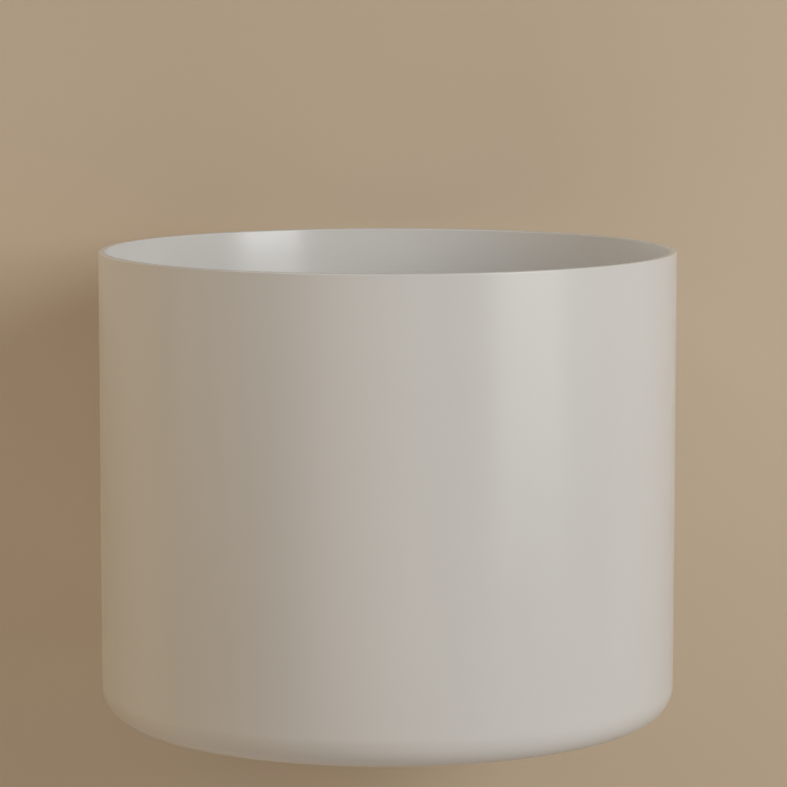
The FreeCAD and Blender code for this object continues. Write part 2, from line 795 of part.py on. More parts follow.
def add_grips(body, radius, low, height):
    """Raise a ring of upright finger grips on a turned piece."""
    sketch = new_sketch(body, "grip", "XY_Plane", (ZERO, ZERO, low))
    half = s["grip_width"] / 2
    draw_box(sketch, radius - s["grip_root"], radius + s["grip_height"], -half, half)
    grip = add_extrusion(body, sketch, height)
    ring = body.newObject("PartDesign::PolarPattern", f"{body.Name}_grips")
    ring.Originals = [grip]
    ring.Axis = (origin_feature(body, "Z_Axis"), [""])
    ring.Angle = 360
    ring.Occurrences = int(s["grip_count"].value)
    body.Tip = ring
    doc.recompute()


def make_seal(label, low, high, inner, y=axis_y, rotation=None, z=ZERO):
    """Plain rubber ring between two heights."""
    body = new_body(label, y=y, z=z, rotation=rotation)
    outer = thread_radius - s["seal_clearance"]
    add_turned(body, [(inner, low), (outer, low), (outer, high), (inner, high)])


def make_trap():
    """Bottle trap: couplings and seals, dip tube, body with its branch, cup below."""
    make_coupling("trap_inlet_nut", axis_y, inlet_face, UPSIDE_DOWN)
    make_seal("trap_inlet_seal", flange_face, tail_z, bore_radius)
    make_coupling("trap_neck_nut", axis_y, neck_face)
    make_seal("trap_neck_seal", neck_top, neck_face, seal_bore)
    make_dip_tube()
    make_trap_body()
    make_trap_cup()
    make_coupling("trap_outlet_nut", outlet_face, outlet_z, TO_WALL)
    make_seal("trap_outlet_seal", -s["ring_seal_thickness"], ZERO, seal_bore,
              outlet_face, TO_WALL, outlet_z)


def make_dip_tube():
    """Flanged tube from the waste down into the water of the trap."""
    body = new_body("trap_dip_tube", y=axis_y)
    bore = pipe_radius - s["dip_wall"]
    flange = thread_radius - s["seal_clearance"]
    add_turned(body, [(bore, dip_end), (pipe_radius, dip_end), (pipe_radius, inlet_face),
                      (flange, inlet_face), (flange, flange_face), (bore, flange_face)])


def make_trap_body():
    """Upper half of the bottle, with a threaded neck, a branch and a collar for the cup."""
    body = new_body("trap_body", y=axis_y)
    add_turned(body, [
        (ZERO, collar_low),
        (collar_radius, collar_low),
        (collar_radius, body_low),
        (trap_radius, body_low),
        (trap_radius, body_high),
        (thread_radius, body_high + s["shoulder_height"]),
        (thread_radius, neck_top),
        (ZERO, neck_top),
    ])
    branch_sketch = new_sketch(body, "branch")
    draw_circle(branch_sketch, ZERO, outlet_z, thread_radius)
    add_extrusion(body, branch_sketch, s["branch_reach"], backwards=True)
    inner = trap_radius - s["trap_wall"]
    cavity_sketch = new_sketch(body, "cavity")
    draw_outline(cavity_sketch, [
        (ZERO, collar_low - CUT_OVERRUN),
        (inner, collar_low - CUT_OVERRUN),
        (inner, body_high),
        (lip_bore, body_high),
        (lip_bore, neck_top + CUT_OVERRUN),
        (ZERO, neck_top + CUT_OVERRUN),
    ])
    add_revolution(body, cavity_sketch, "Groove")
    bore_sketch = new_sketch(body, "branch_bore")
    draw_circle(bore_sketch, ZERO, outlet_z, lip_bore)
    add_extrusion(body, bore_sketch, s["branch_reach"] + CUT_OVERRUN, "Pocket")


def make_trap_cup():
    """Screw-on cup that holds the water seal, and the ring between it and the body."""
    ring = new_body("trap_cup_seal", y=axis_y)
    ring_low = collar_low - s["flat_seal_thickness"]
    ring_inner = trap_radius - s["trap_wall"]
    add_turned(ring, [(ring_inner, ring_low), (collar_radius, ring_low),
                      (collar_radius, collar_low), (ring_inner, collar_low)])

    cup = new_body("trap_cup", y=axis_y)
    top = body_low - s["cup_gap"]
    wide = collar_radius + s["pipe_clearance"]
    outer = wide + s["cup_wall"]
    narrow = ring_inner - s["cup_inset"]
    add_turned(cup, [
        (ZERO, cup_floor_z - s["cup_floor"]),
        (narrow + s["cup_floor_flare"], cup_floor_z - s["cup_floor"]),
        (outer, ring_low - s["cup_ledge"]),
        (outer, top),
        (wide, top),
        (wide, ring_low),
        (narrow, ring_low),
        (narrow - s["cup_ledge"], cup_floor_z),
        (ZERO, cup_floor_z),
    ])
    add_grips(cup, outer, ring_low - s["cup_ledge"], top - ring_low)


def make_outlet():
    """Straight pipe from the trap into the wall, and the rosette that covers the hole."""
    pipe = new_body("waste_pipe", z=outlet_z, rotation=TO_WALL)
    bore = pipe_radius - s["pipe_wall"]
    start = branch_y - s["pipe_overlap"]
    end = s["pipe_in_wall"]
    mark_end = s["pipe_mark_width"]
    mark_radius = pipe_radius - s["pipe_mark_depth"]
    add_turned(pipe, [
        (bore, start),
        (pipe_radius, start),
        (pipe_radius, ZERO),
        (mark_radius, ZERO),
        (mark_radius, mark_end),
        (pipe_radius, mark_end),
        (pipe_radius, end),
        (bore, end),
    ])

    rosette = new_body("wall_rosette", z=outlet_z, rotation=TO_WALL)
    rim = s["rosette_diameter"] / 2
    shoulder = pipe_radius + s["rosette_shoulder"]
    front = -s["rosette_height"]
    add_turned(rosette, [
        (rim, ZERO),
        (rim, -s["rosette_edge"]),
        (shoulder, front),
        (seal_bore, front),
        (seal_bore, front + s["rosette_wall"]),
        (shoulder - s["rosette_front_wall"], front + s["rosette_wall"]),
        (rim - s["rosette_rim_wall"], ZERO),
    ])


# ---------------------------------------------------------------- build and write

def check_document():
    """Stop if any feature failed or any piece has no valid solid."""
    faults = [one.Name for one in doc.Objects if {"Invalid", "Error"} & set(one.State)]
    for body in parts:
        if body.Shape.isNull() or not body.Shape.isValid() or not body.Shape.Solids:
            faults.append(body.Label)
    if faults:
        raise RuntimeError("failed: " + ", ".join(faults))


def write_parts():
    """Write each piece to a file of its own name."""
    os.makedirs("parts", exist_ok=True)
    for body in parts:
        body.Shape.exportStep(f"parts/{body.Label}.step")
        box = body.Shape.BoundBox
        print(f"{body.Label}: {len(body.Shape.Solids)} solid(s), {body.Shape.Volume:.0f} mm3, "
              f"y {box.YMin:.1f} to {box.YMax:.1f}, z {box.ZMin:.1f} to {box.ZMax:.1f}")


make_basin()
make_fixings()
make_waste()
make_cartridge()
make_plug()
make_trap()
make_outlet()
doc.recompute()
check_document()
write_parts()
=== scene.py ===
"""Dressed model of a wall hung drum basin with its fixings, push-open waste and bottle trap."""

import logging
import math
from dataclasses import dataclass, field
from enum import Enum

import bmesh
import bpy
from mathutils import Euler, Matrix, Vector


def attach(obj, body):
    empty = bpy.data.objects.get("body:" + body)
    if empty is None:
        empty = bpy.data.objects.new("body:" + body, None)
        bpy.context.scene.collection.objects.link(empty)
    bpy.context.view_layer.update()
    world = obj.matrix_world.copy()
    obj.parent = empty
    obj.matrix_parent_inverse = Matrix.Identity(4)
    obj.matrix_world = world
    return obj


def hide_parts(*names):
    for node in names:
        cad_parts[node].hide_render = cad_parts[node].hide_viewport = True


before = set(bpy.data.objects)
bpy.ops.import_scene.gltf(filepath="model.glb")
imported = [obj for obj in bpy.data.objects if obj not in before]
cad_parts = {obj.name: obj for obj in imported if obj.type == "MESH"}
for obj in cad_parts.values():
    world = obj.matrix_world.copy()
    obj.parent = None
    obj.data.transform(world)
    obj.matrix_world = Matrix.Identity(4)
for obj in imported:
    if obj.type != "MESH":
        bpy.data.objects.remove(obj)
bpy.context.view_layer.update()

log = logging.getLogger("basin")

MM = 0.001
BOWL_Y = -217.0
BOWL_AXIS = Vector((0.0, BOWL_Y * MM, 0.0))
Corner = tuple[float, float, float]
Colour = tuple[float, float, float]
Socket = bpy.types.NodeSocket


class Way(Enum):
    """Which way a turned piece's own axis points in the frame."""

    UP = Euler((0.0, 0.0, 0.0))
    DOWN = Euler((math.pi, 0.0, 0.0))
    INTO_WALL = Euler((-math.pi / 2, 0.0, 0.0))

    def at(self, place: Vector) -> Matrix:
        """Return the move that turns a piece this way and sets it at a place."""
        return Matrix.Translation(place) @ self.value.to_matrix().to_4x4()


class Grain(Enum):
    """How the fine relief of a finish runs."""

    EVEN = "even"
    TURNED = "turned"
    DRAWN = "drawn"


def on_axis(height: float) -> Vector:
    """Return the place on the bowl's axis at a height in millimetres."""
    return BOWL_AXIS + Vector((0.0, 0.0, height * MM))


def spot(x: float, y: float, z: float) -> Vector:
    """Return a place in metres that is given in millimetres."""
    return Vector((x * MM, y * MM, z * MM))


def shaded(colour: Colour, share: float) -> Colour:
    """Return a colour darkened to a share of itself."""
    red, green, blue = (share * part for part in colour)
    return red, green, blue


# ---------------------------------------------------------------- shader helper

class Paint:
    """A material or a world under construction: adds nodes and links them."""

    def __init__(self, name: str, owner: bpy.types.World | None = None) -> None:
        """Start an empty node tree.

        Args:
            name: the name of the material that is made.
            owner: the world to paint in place of a new material.
        """
        self.material = owner or bpy.data.materials.new(name)
        self.material.use_nodes = True
        self.tree = self.material.node_tree
        self.tree.nodes.clear()
        self.output = self.tree.nodes.new("ShaderNodeOutput" + ("World" if owner else "Material"))

    def add(self, kind: str, values: dict[str, object] | None = None,
            **settings: object) -> bpy.types.Node:
        """Add a node.

        Args:
            kind: the node type without its ShaderNode prefix.
            values: socket values by input name; a socket is linked, anything else is set.
            settings: node properties.

        Returns:
            The new node.
        """
        node = self.tree.nodes.new("ShaderNode" + kind)
        for name, value in settings.items():
            setattr(node, name, value)
        for name, value in (values or {}).items():
            self.put(node.inputs[name], value)
        return node

    def put(self, socket: Socket, value: object) -> None:
        """Link or set one input socket.

        Args:
            socket: the input.
            value: a socket to link, or a value to set.
        """
        if isinstance(value, bpy.types.NodeSocket):
            self.tree.links.new(value, socket)
        else:
            socket.default_value = value

    def place(self) -> Socket:
        """Return the object coordinates, in metres."""
        return self.add("TexCoord").outputs["Object"]

    def noise(self, scale: float, detail: float, stretch: Vector | None = None) -> Socket:
        """Return a noise value over the object.

        Args:
            scale: cells per metre.
            detail: octaves.
            stretch: extra scale along each axis.

        Returns:
            The factor socket, about 0 to 1.
        """
        where = self.place()
        if stretch is not None:
            where = self.add("Mapping", {"Vector": where, "Scale": stretch}).outputs["Vector"]
        values = {"Vector": where, "Scale": scale, "Detail": detail}
        return self.add("TexNoise", values).outputs["Fac"]

    def drift(self, scale: float, detail: float, low: float, high: float,
              reach: tuple[float, float] = (0.3, 0.7)) -> Socket:
        """Return noise that drifts between two values.

        Args:
            scale: cells per metre.
            detail: octaves.
            low: the least value.
            high: the greatest value.
            reach: the share of the noise's range that is spread over them.

        Returns:
            The value socket.
        """
        return self.span(self.noise(scale, detail), *reach, low, high)

    def sum(self, operation: str, first: object, second: object) -> Socket:
        """Return the result of one sum of two values."""
        return self.add("Math", {0: first, 1: second}, operation=operation).outputs[0]

    def span(self, value: Socket, low: float, high: float, out_low: float, out_high: float) -> Socket:
        """Map a value from one range to another, clamped.

        Args:
            value: the value to map.
            low: the start of its range.
            high: the end of its range.
            out_low: what the start becomes.
            out_high: what the end becomes.

        Returns:
            The mapped value's socket.
        """
        values = {"Value": value, "From Min": low, "From Max": high,
                  "To Min": out_low, "To Max": out_high}
        return self.add("MapRange", values).outputs["Result"]

    def blend(self, factor: Socket, first: object, second: object) -> Socket:
        """Mix two colours by a factor.

        Args:
            factor: 0 for the first, 1 for the second.
            first: a colour or a socket.
            second: a colour or a socket.

        Returns:
            The mixed colour's socket.
        """
        node = self.add("Mix", data_type="RGBA")
        self.put(node.inputs[0], factor)
        self.put(node.inputs[6], self.rgba(first))
        self.put(node.inputs[7], self.rgba(second))
        return node.outputs[2]

    @staticmethod
    def rgba(colour: object) -> object:
        """Give a plain colour its alpha."""
        return (*colour, 1.0) if isinstance(colour, tuple) and len(colour) == 3 else colour

    def bump(self, height: Socket, depth: float, under: Socket | None = None) -> Socket:
        """Turn a 0 to 1 height into a normal.

        Args:
            height: the height value.
            depth: the height of 1 in metres.
            under: a normal that this relief adds to.

        Returns:
            The normal socket.
        """
        node = self.add("Bump", {"Height": height, "Distance": depth, "Strength": 1.0})
        if under is not None:
            self.put(node.inputs["Normal"], under)
        return node.outputs["Normal"]

    def surface(self, values: dict[str, object]) -> bpy.types.Material:
        """Close the material with one principled surface.

        Args:
            values: the surface's socket values by input name.

        Returns:
            The finished material.
        """
        values = {**values, "Base Color": self.rgba(values["Base Color"])}
        shader = self.add("BsdfPrincipled", values)
        self.put(self.output.inputs["Surface"], shader.outputs["BSDF"])
        return self.material


# ---------------------------------------------------------------- finishes

@dataclass(frozen=True)
class SatinGlaze:
    """Satin white glaze, left raw where the casting meets the wall and on its foot."""

    name: str = "satin_glaze"
    colour: Colour = (0.70, 0.685, 0.665)
    cloud: float = 0.985
    raw_colour: Colour = (0.62, 0.56, 0.48)
    raw_shade: float = 0.8
    roughness: float = 0.23
    spread: float = 0.03
    raw_roughness: float = 0.45
    wall_y: float = -0.0012
    foot_z: float = -0.1440
    foot_fade: float = 0.0002
    foot_edge: float = 0.1885
    fray: float = 0.0003
    ripple: float = 0.00012
    peel: float = 0.000006
    grit: float = 0.00012

    def build(self) -> bpy.types.Material:
        """Build the material.

        Returns:
            The glaze with its raw foot and back.
        """
        paint = Paint(self.name)
        raw = self.raw_share(paint)
        cloud = paint.drift(7.0, 2.0, 0.0, 1.0, (0.35, 0.65))
        glaze = paint.blend(cloud, self.colour, shaded(self.colour, self.cloud))
        grit = paint.drift(700.0, 5.0, 0.0, 1.0, (0.35, 0.75))
        body = paint.blend(grit, self.raw_colour, shaded(self.raw_colour, self.raw_shade))
        ripple = paint.bump(paint.noise(18.0, 2.0), self.ripple)
        peel = paint.bump(paint.noise(900.0, 2.0), self.peel, ripple)
        relief = paint.bump(paint.sum("MULTIPLY", grit, raw), self.grit, peel)
        gloss = paint.drift(35.0, 3.0, self.roughness - self.spread, self.roughness + self.spread)
        rough = paint.sum("ADD", gloss, paint.span(raw, 0.0, 1.0, 0.0, self.raw_roughness))
        return paint.surface({"Base Color": paint.blend(raw, glaze, body), "Roughness": rough,
                              "IOR": 1.52, "Normal": relief})

    def raw_share(self, paint: Paint) -> Socket:
        """Find where the casting is unglazed: on the wall's side and inside the foot's edge.

        Args:
            paint: the glaze under construction.

        Returns:
            The share's socket, 0 on the glaze and 1 on the raw casting.
        """
        axes = paint.add("SeparateXYZ", {"Vector": paint.place()})
        ragged = paint.drift(45.0, 2.0, -self.fray, self.fray)
        near_wall = paint.sum("ADD", axes.outputs["Y"], ragged)
        on_wall = paint.span(near_wall, self.wall_y - self.fray, self.wall_y, 0.0, 1.0)
        depth = paint.sum("SUBTRACT", axes.outputs["Y"], BOWL_Y * MM)
        flat = paint.add("CombineXYZ", {"X": axes.outputs["X"], "Y": depth})
        reach = paint.add("VectorMath", {0: flat.outputs["Vector"]}, operation="LENGTH")
        frayed = paint.sum("ADD", reach.outputs["Value"], ragged)
        inside = paint.span(frayed, self.foot_edge, self.foot_edge + self.fray, 1.0, 0.0)
        low = paint.span(axes.outputs["Z"], self.foot_z - self.foot_fade, self.foot_z, 1.0, 0.0)
        return paint.sum("MAXIMUM", on_wall, paint.sum("MULTIPLY", inside, low))


@dataclass(frozen=True)
class Coat:
    """An opaque finish: colour that drifts a little, gloss that drifts a little, fine relief."""

    name: str
    colour: Colour
    shade: float = 0.9
    roughness: float = 0.5
    spread: float = 0.05
    metallic: float = 0.0
    cells: float = 600.0
    relief: float = 0.00001
    grain: Grain = Grain.EVEN
    subsurface: float = 0.0

    def build(self) -> bpy.types.Material:
        """Build the material.

        Returns:
            The coat's material.
        """
        paint = Paint(self.name)
        colour = paint.blend(paint.drift(40.0, 3.0, 0.0, 1.0), self.colour,
                             shaded(self.colour, self.shade))
        stretch = {Grain.EVEN: None, Grain.TURNED: Vector((0.05, 0.05, 1.0)),
                   Grain.DRAWN: Vector((1.0, 0.05, 1.0))}[self.grain]
        fine = paint.noise(self.cells, 3.0, stretch)
        gloss = paint.span(fine, 0.3, 0.7, self.roughness - self.spread,
                           self.roughness + self.spread)
        values = {"Base Color": colour, "Roughness": gloss, "Metallic": self.metallic,
                  "Normal": paint.bump(fine, self.relief)}
        if self.subsurface:
            values["Subsurface Weight"] = self.subsurface
            values["Subsurface Radius"] = (0.006, 0.005, 0.004)
        return paint.surface(values)


@dataclass(frozen=True)
class StudioPaint:
    """Matt paint of a studio sheet that is only seen, directly and in gloss.

    It shows on its front only, so it hides nothing from behind, and it lets light through,
    so it takes none away from the side of the object that faces it.
    """

    name: str
    colour: Colour
    shade: float = 0.985

    def build(self) -> bpy.types.Material:
        """Build the material.

        Returns:
            The sheet's paint.
        """
        paint = Paint(self.name)
        tone = paint.drift(3.0, 2.0, 0.0, 1.0)
        colour = paint.blend(tone, self.colour, shaded(self.colour, self.shade))
        front = paint.add("BsdfDiffuse", {"Color": colour, "Roughness": 1.0})
        clear = paint.add("BsdfTransparent")
        behind = paint.add("NewGeometry").outputs["Backfacing"]
        hidden = paint.sum("MAXIMUM", behind, paint.sum("SUBTRACT", 1.0, seen_ray(paint)))
        mix = paint.add("MixShader", {"Fac": hidden})
        paint.put(mix.inputs[1], front.outputs["BSDF"])
        paint.put(mix.inputs[2], clear.outputs["BSDF"])
        paint.put(paint.output.inputs["Surface"], mix.outputs["Shader"])
        return paint.material


def seen_ray(paint: Paint) -> Socket:
    """Pick out the rays that show a background: seen directly, in gloss or through glass.

    Args:
        paint: the material or world under construction.

    Returns:
        The socket, 1 for such rays.
    """
    path = paint.add("LightPath")
    seen = path.outputs["Is Camera Ray"]
    for name in ("Is Glossy Ray", "Is Transmission Ray"):
        seen = paint.sum("MAXIMUM", seen, path.outputs[name])
    return seen


@dataclass(frozen=True)
class Finish:
    """A material and the name of its slot, which a kept solid has already; the name is carried but not
    used.
    """

    material: bpy.types.Material
    slot: str


@dataclass(frozen=True)
class Finishes:
    """Every finish of the basin, built once."""

    glaze: Finish
    black: Finish
    brass: Finish
    rubber: Finish
    plastic: Finish
    nylon: Finish
    zinc: Finish
    wire: Finish

    @classmethod
    def mix(cls) -> "Finishes":
        """Build all the materials.

        Returns:
            The finishes.
        """
        coats = {
            "black": ("black_brass", Coat(
                "matt_black", (0.028, 0.028, 0.03), shade=0.85, roughness=0.42, cells=1500.0,
                relief=0.000012)),
            "brass": ("raw_brass", Coat(
                "raw_brass", (0.70, 0.52, 0.25), shade=0.88, roughness=0.3, spread=0.08,
                metallic=1.0, cells=1800.0, relief=0.000012, grain=Grain.TURNED)),
            "rubber": ("seal_rubber", Coat(
                "seal_rubber", (0.025, 0.025, 0.026), shade=0.8, roughness=0.72, spread=0.06,
                cells=1200.0, relief=0.00003)),
            "plastic": ("white_plastic", Coat(
                "white_plastic", (0.78, 0.775, 0.75), shade=0.97, roughness=0.38, cells=900.0,
                relief=0.000012, subsurface=0.08)),
            "nylon": ("nylon", Coat(
                "natural_nylon", (0.76, 0.72, 0.62), shade=0.95, roughness=0.42, cells=900.0,
                relief=0.000012, subsurface=0.15)),
            "zinc": ("zinc_steel", Coat(
                "zinc_plate", (0.60, 0.61, 0.62), shade=0.82, roughness=0.32, spread=0.08,
                metallic=1.0, cells=500.0)),
            "wire": ("spring_steel", Coat(
                "spring_wire", (0.52, 0.52, 0.53), roughness=0.28, metallic=1.0, cells=1500.0,
                relief=0.000006, grain=Grain.DRAWN)),
        }
        return cls(glaze=Finish(SatinGlaze().build(), "glaze"),
                   **{name: Finish(coat.build(), slot) for name, (slot, coat) in coats.items()})


# ---------------------------------------------------------------- mesh helpers

def rounded(corners: list[Corner], steps: int = 4) -> list[tuple[float, float]]:
    """Round the corners of a closed outline.

    Args:
        corners: (radius, height, rounding) in millimetres.
        steps: points per rounding, less one.

    Returns:
        The outline's (radius, height) points in metres.
    """
    points: list[tuple[float, float]] = []
    count = len(corners)
    for index, (x, y, rounding) in enumerate(corners):
        here = Vector((x, y))
        if rounding <= 0.0:
            points.append((x * MM, y * MM))
            continue
        back = (Vector(corners[index - 1][:2]) - here).normalized()
        ahead = (Vector(corners[(index + 1) % count][:2]) - here).normalized()
        half = back.angle(ahead) / 2
        start, end = (here + way * rounding / math.tan(half) for way in (back, ahead))
        centre = here + (back + ahead).normalized() * rounding / math.sin(half)
        for step in range(steps + 1):
            spoke = (start - centre).slerp(end - centre, step / steps) * rounding
            points.append(((centre + spoke).x * MM, (centre + spoke).y * MM))
    return points


def new_object(name: str, mesh: bpy.types.Mesh, material: bpy.types.Material) -> bpy.types.Object:
    """Link a mesh as an object at the origin.

    Args:
        name: the piece's name.
        mesh: its mesh.
        material: its finish.

    Returns:
        The object.
    """
    piece = bpy.data.objects.new(name, mesh)
    bpy.context.scene.collection.objects.link(piece)
    mesh.materials.clear()
    mesh.materials.append(material)
    return piece


def smooth(mesh: bpy.types.Mesh, angle: float = 32.0) -> None:
    """Shade a mesh smooth, but for edges sharper than an angle in degrees."""
    mesh.shade_smooth()
    mesh.set_sharp_from_angle(angle=math.radians(angle))


def meshed(name: str, shape: bmesh.types.BMesh, angle: float = 32.0) -> bpy.types.Mesh:
    """Turn a finished shape into a smooth mesh.

    Args:
        name: the mesh's name.
        shape: the shape, which is freed.
        angle: edges sharper than this many degrees stay sharp.

    Returns:
        The mesh.
    """
    mesh = bpy.data.meshes.new(name)
    shape.to_mesh(mesh)
    shape.free()
    smooth(mesh, angle)
    return mesh


def turn(outline: list[tuple[float, float]], steps: int) -> bmesh.types.BMesh:
    """Turn a closed outline about the Z axis.

    Args:
        outline: (radius, height) points in metres.
        steps: faces around.

    Returns:
        A closed mesh whose faces point outwards.
    """
    shape = bmesh.new()
    rings = []
    for step in range(steps):
        angle = 2 * math.pi * step / steps
        rings.append([shape.verts.new((r * math.cos(angle), r * math.sin(angle), z))
                      for r, z in outline])
    count = len(outline)
    for step in range(steps):
        here, there = rings[step], rings[(step + 1) % steps]
        for index in range(count):
            following = (index + 1) % count
            if outline[index][0] <= 0.0 and outline[following][0] <= 0.0:
                continue
            shape.faces.new([here[index], there[index], there[following], here[following]])
    bmesh.ops.remove_doubles(shape, verts=shape.verts, dist=1e-7)
    bmesh.ops.recalc_face_normals(shape, faces=shape.faces)
    return shape


@dataclass
class Turned:
    """A turned piece, given by the outline of half its section."""

    name: str
    corners: list[Corner]
    place: Vector = field(default_factory=BOWL_AXIS.copy)
    way: Way = Way.UP
    steps: int = 96

    def mesh(self) -> bpy.types.Mesh:
        """Make the piece's mesh in the frame.

        Returns:
            The mesh, turned and in its place.
        """
        shape = turn(rounded(self.corners), self.steps)
        bmesh.ops.transform(shape, matrix=self.way.at(self.place), verts=shape.verts)
        return meshed(self.name, shape)


def joined(name: str, meshes: list[bpy.types.Mesh]) -> bpy.types.Mesh:
    """Join several meshes into one.

    Args:
        name: the new mesh's name.
        meshes: the meshes to join.

    Returns:
        The whole mesh.
    """
    shape = bmesh.new()
    for mesh in meshes:
        shape.from_mesh(mesh)
    return meshed(name, shape)


def eased(node: bpy.types.Object, name: str, easing: float) -> bpy.types.Mesh:
    """Copy a solid of the frame with merged corners and eased edges.

    Args:
        node: the solid's object.
        name: the mesh's name.
        easing: width of the eased edges in metres.

    Returns:
        The eased mesh.
    """
    shape = bmesh.new()
    shape.from_mesh(node.data)
    bmesh.ops.remove_doubles(shape, verts=shape.verts, dist=1e-6)
    bmesh.ops.dissolve_limit(shape, angle_limit=math.radians(0.2), verts=shape.verts,
                             edges=shape.edges)
    mesh = bpy.data.meshes.new(name)
    shape.to_mesh(mesh)
    shape.free()
    if "custom_normal" in mesh.attributes:
        mesh.attributes.remove(mesh.attributes["custom_normal"])
    seed = bpy.data.objects.new(name, mesh)
    bpy.context.scene.collection.objects.link(seed)
    bevel = seed.modifiers.new("easing", "BEVEL")
    bevel.width = easing
    bevel.segments = 3
    bevel.limit_method = "ANGLE"
    bevel.angle_limit = math.radians(35)
    bevel.use_clamp_overlap = True
    return baked(seed)


def baked(seed: bpy.types.Object, angle: float = 32.0) -> bpy.types.Mesh:
    """Turn an object's modifiers into a plain mesh and remove the object.

    Args:
        seed: the object.
        angle: edges sharper than this many degrees stay sharp.

    Returns:
        The mesh, with the object's name.
    """
    depsgraph = bpy.context.evaluated_depsgraph_get()
    mesh = bpy.data.meshes.new_from_object(seed.evaluated_get(depsgraph))
    mesh.name = seed.name
    bpy.data.objects.remove(seed)
    smooth(mesh, angle)
    return mesh


# ---------------------------------------------------------------- geometry node helpers

STEPS_PER_TURN = 40
RIDGE_SIDES = 4
RIB_SIDES = 12
RIB_RINGS = 8


class Recipe:
    """A geometry node tree under construction, with named inputs."""

    def __init__(self, name: str, sizes: tuple[str, ...], counts: tuple[str, ...]) -> None:
        """Start an empty tree with its named inputs and one geometry output.

        Args:
            name: the tree's name.
            sizes: names of the inputs that are lengths.
            counts: names of the inputs that are whole numbers.
        """
        self.tree = bpy.data.node_groups.new(name, "GeometryNodeTree")
        self.tree.interface.new_socket("Geometry", in_out="OUTPUT", socket_type="NodeSocketGeometry")
        inputs = [("Geometry", "Geometry")]
        inputs += [(size, "Float") for size in sizes] + [(count, "Int") for count in counts]
        inputs += [("Place", "Vector"), ("Turn", "Rotation"), ("Finish", "Material")]
        for label, kind in inputs:
            self.tree.interface.new_socket(label, in_out="INPUT", socket_type="NodeSocket" + kind)
        self.enter = self.tree.nodes.new("NodeGroupInput")
        self.leave = self.tree.nodes.new("NodeGroupOutput")

    def given(self, name: str) -> Socket:
        """Return a declared input's socket."""
        return self.enter.outputs[name]

    def add(self, kind: str, values: dict[object, object] | None = None,
            **settings: object) -> bpy.types.Node:
        """Add a node.

        Args:
            kind: the node's full type name.
            values: input values by name or index; a socket is linked, anything else is set.
            settings: node properties.

        Returns:
            The new node.
        """
        node = self.tree.nodes.new(kind)
        for name, value in settings.items():
            setattr(node, name, value)
        for name, value in (values or {}).items():
            if isinstance(value, bpy.types.NodeSocket):
                self.tree.links.new(value, node.inputs[name])
            else:
                node.inputs[name].default_value = value
        return node

    def calc(self, operation: str, first: object, second: object) -> Socket:
        """Return the result of one sum."""
        return self.add("ShaderNodeMath", {0: first, 1: second}, operation=operation).outputs[0]

    def close(self, geometry: Socket) -> bpy.types.NodeTree:
        """Move the result to its place, realize it and dress it.

        Args:
            geometry: the result's socket.

        Returns:
            The finished tree.
        """
        moved = self.add("GeometryNodeTransform", {
            "Geometry": geometry, "Translation": self.given("Place"), "Rotation": self.given("Turn")})
        real = self.add("GeometryNodeRealizeInstances", {"Geometry": moved.outputs["Geometry"]})
        dressed = self.add("GeometryNodeSetMaterial", {
            "Geometry": real.outputs["Geometry"], "Material": self.given("Finish")})
        self.tree.links.new(dressed.outputs["Geometry"], self.leave.inputs["Geometry"])
        return self.tree


def helix_recipe() -> bpy.types.NodeTree:
    """Sweep a small section along a helix, as a screw thread.

    Returns:
        The tree.
    """
    recipe = Recipe("helix", ("Radius", "Pitch", "Length", "Section"), ("Sides",))
    turns = recipe.calc("DIVIDE", recipe.given("Length"), recipe.given("Pitch"))
    spiral = recipe.add("GeometryNodeCurveSpiral", {
        "Resolution": STEPS_PER_TURN, "Rotations": turns, "Start Radius": recipe.given("Radius"),
        "End Radius": recipe.given("Radius"), "Height": recipe.given("Length")})
    section = recipe.add("GeometryNodeCurvePrimitiveCircle", {
        "Resolution": recipe.given("Sides"), "Radius": recipe.given("Section")}, mode="RADIUS")
    swept = recipe.add("GeometryNodeCurveToMesh", {
        "Curve": spiral.outputs["Curve"], "Profile Curve": section.outputs["Curve"],
        "Fill Caps": True})
    return recipe.close(swept.outputs["Mesh"])


def grip_recipe() -> bpy.types.NodeTree:
    """Set upright half-round ribs around a ring.

    Returns:
        The tree.
    """
    recipe = Recipe("grips", ("Radius", "Width", "Height"), ("Count",))
    ring = recipe.add("GeometryNodeMeshCircle", {
        "Vertices": recipe.given("Count"), "Radius": recipe.given("Radius")})
    half = recipe.calc("MULTIPLY", recipe.given("Width"), 0.5)
    rib = recipe.add("GeometryNodeMeshCylinder", {
        "Vertices": RIB_SIDES, "Side Segments": 1, "Fill Segments": 1, "Radius": half,
        "Depth": recipe.given("Height")})
    tip = recipe.add("GeometryNodeMeshUVSphere", {
        "Segments": RIB_SIDES, "Rings": RIB_RINGS, "Radius": half})
    tops = []
    for side in (0.5, -0.5):
        lift = recipe.calc("MULTIPLY", recipe.given("Height"), side)
        move = recipe.add("ShaderNodeCombineXYZ", {"Z": lift})
        tops.append(recipe.add("GeometryNodeTransform", {
            "Geometry": tip.outputs["Mesh"], "Translation": move.outputs["Vector"]}))
    whole = recipe.add("GeometryNodeJoinGeometry")
    for part in (rib.outputs["Mesh"], tops[0].outputs["Geometry"], tops[1].outputs["Geometry"]):
        recipe.tree.links.new(part, whole.inputs["Geometry"])
    set_out = recipe.add("GeometryNodeInstanceOnPoints", {
        "Points": ring.outputs["Mesh"], "Instance": whole.outputs["Geometry"]})
    return recipe.close(set_out.outputs["Instances"])


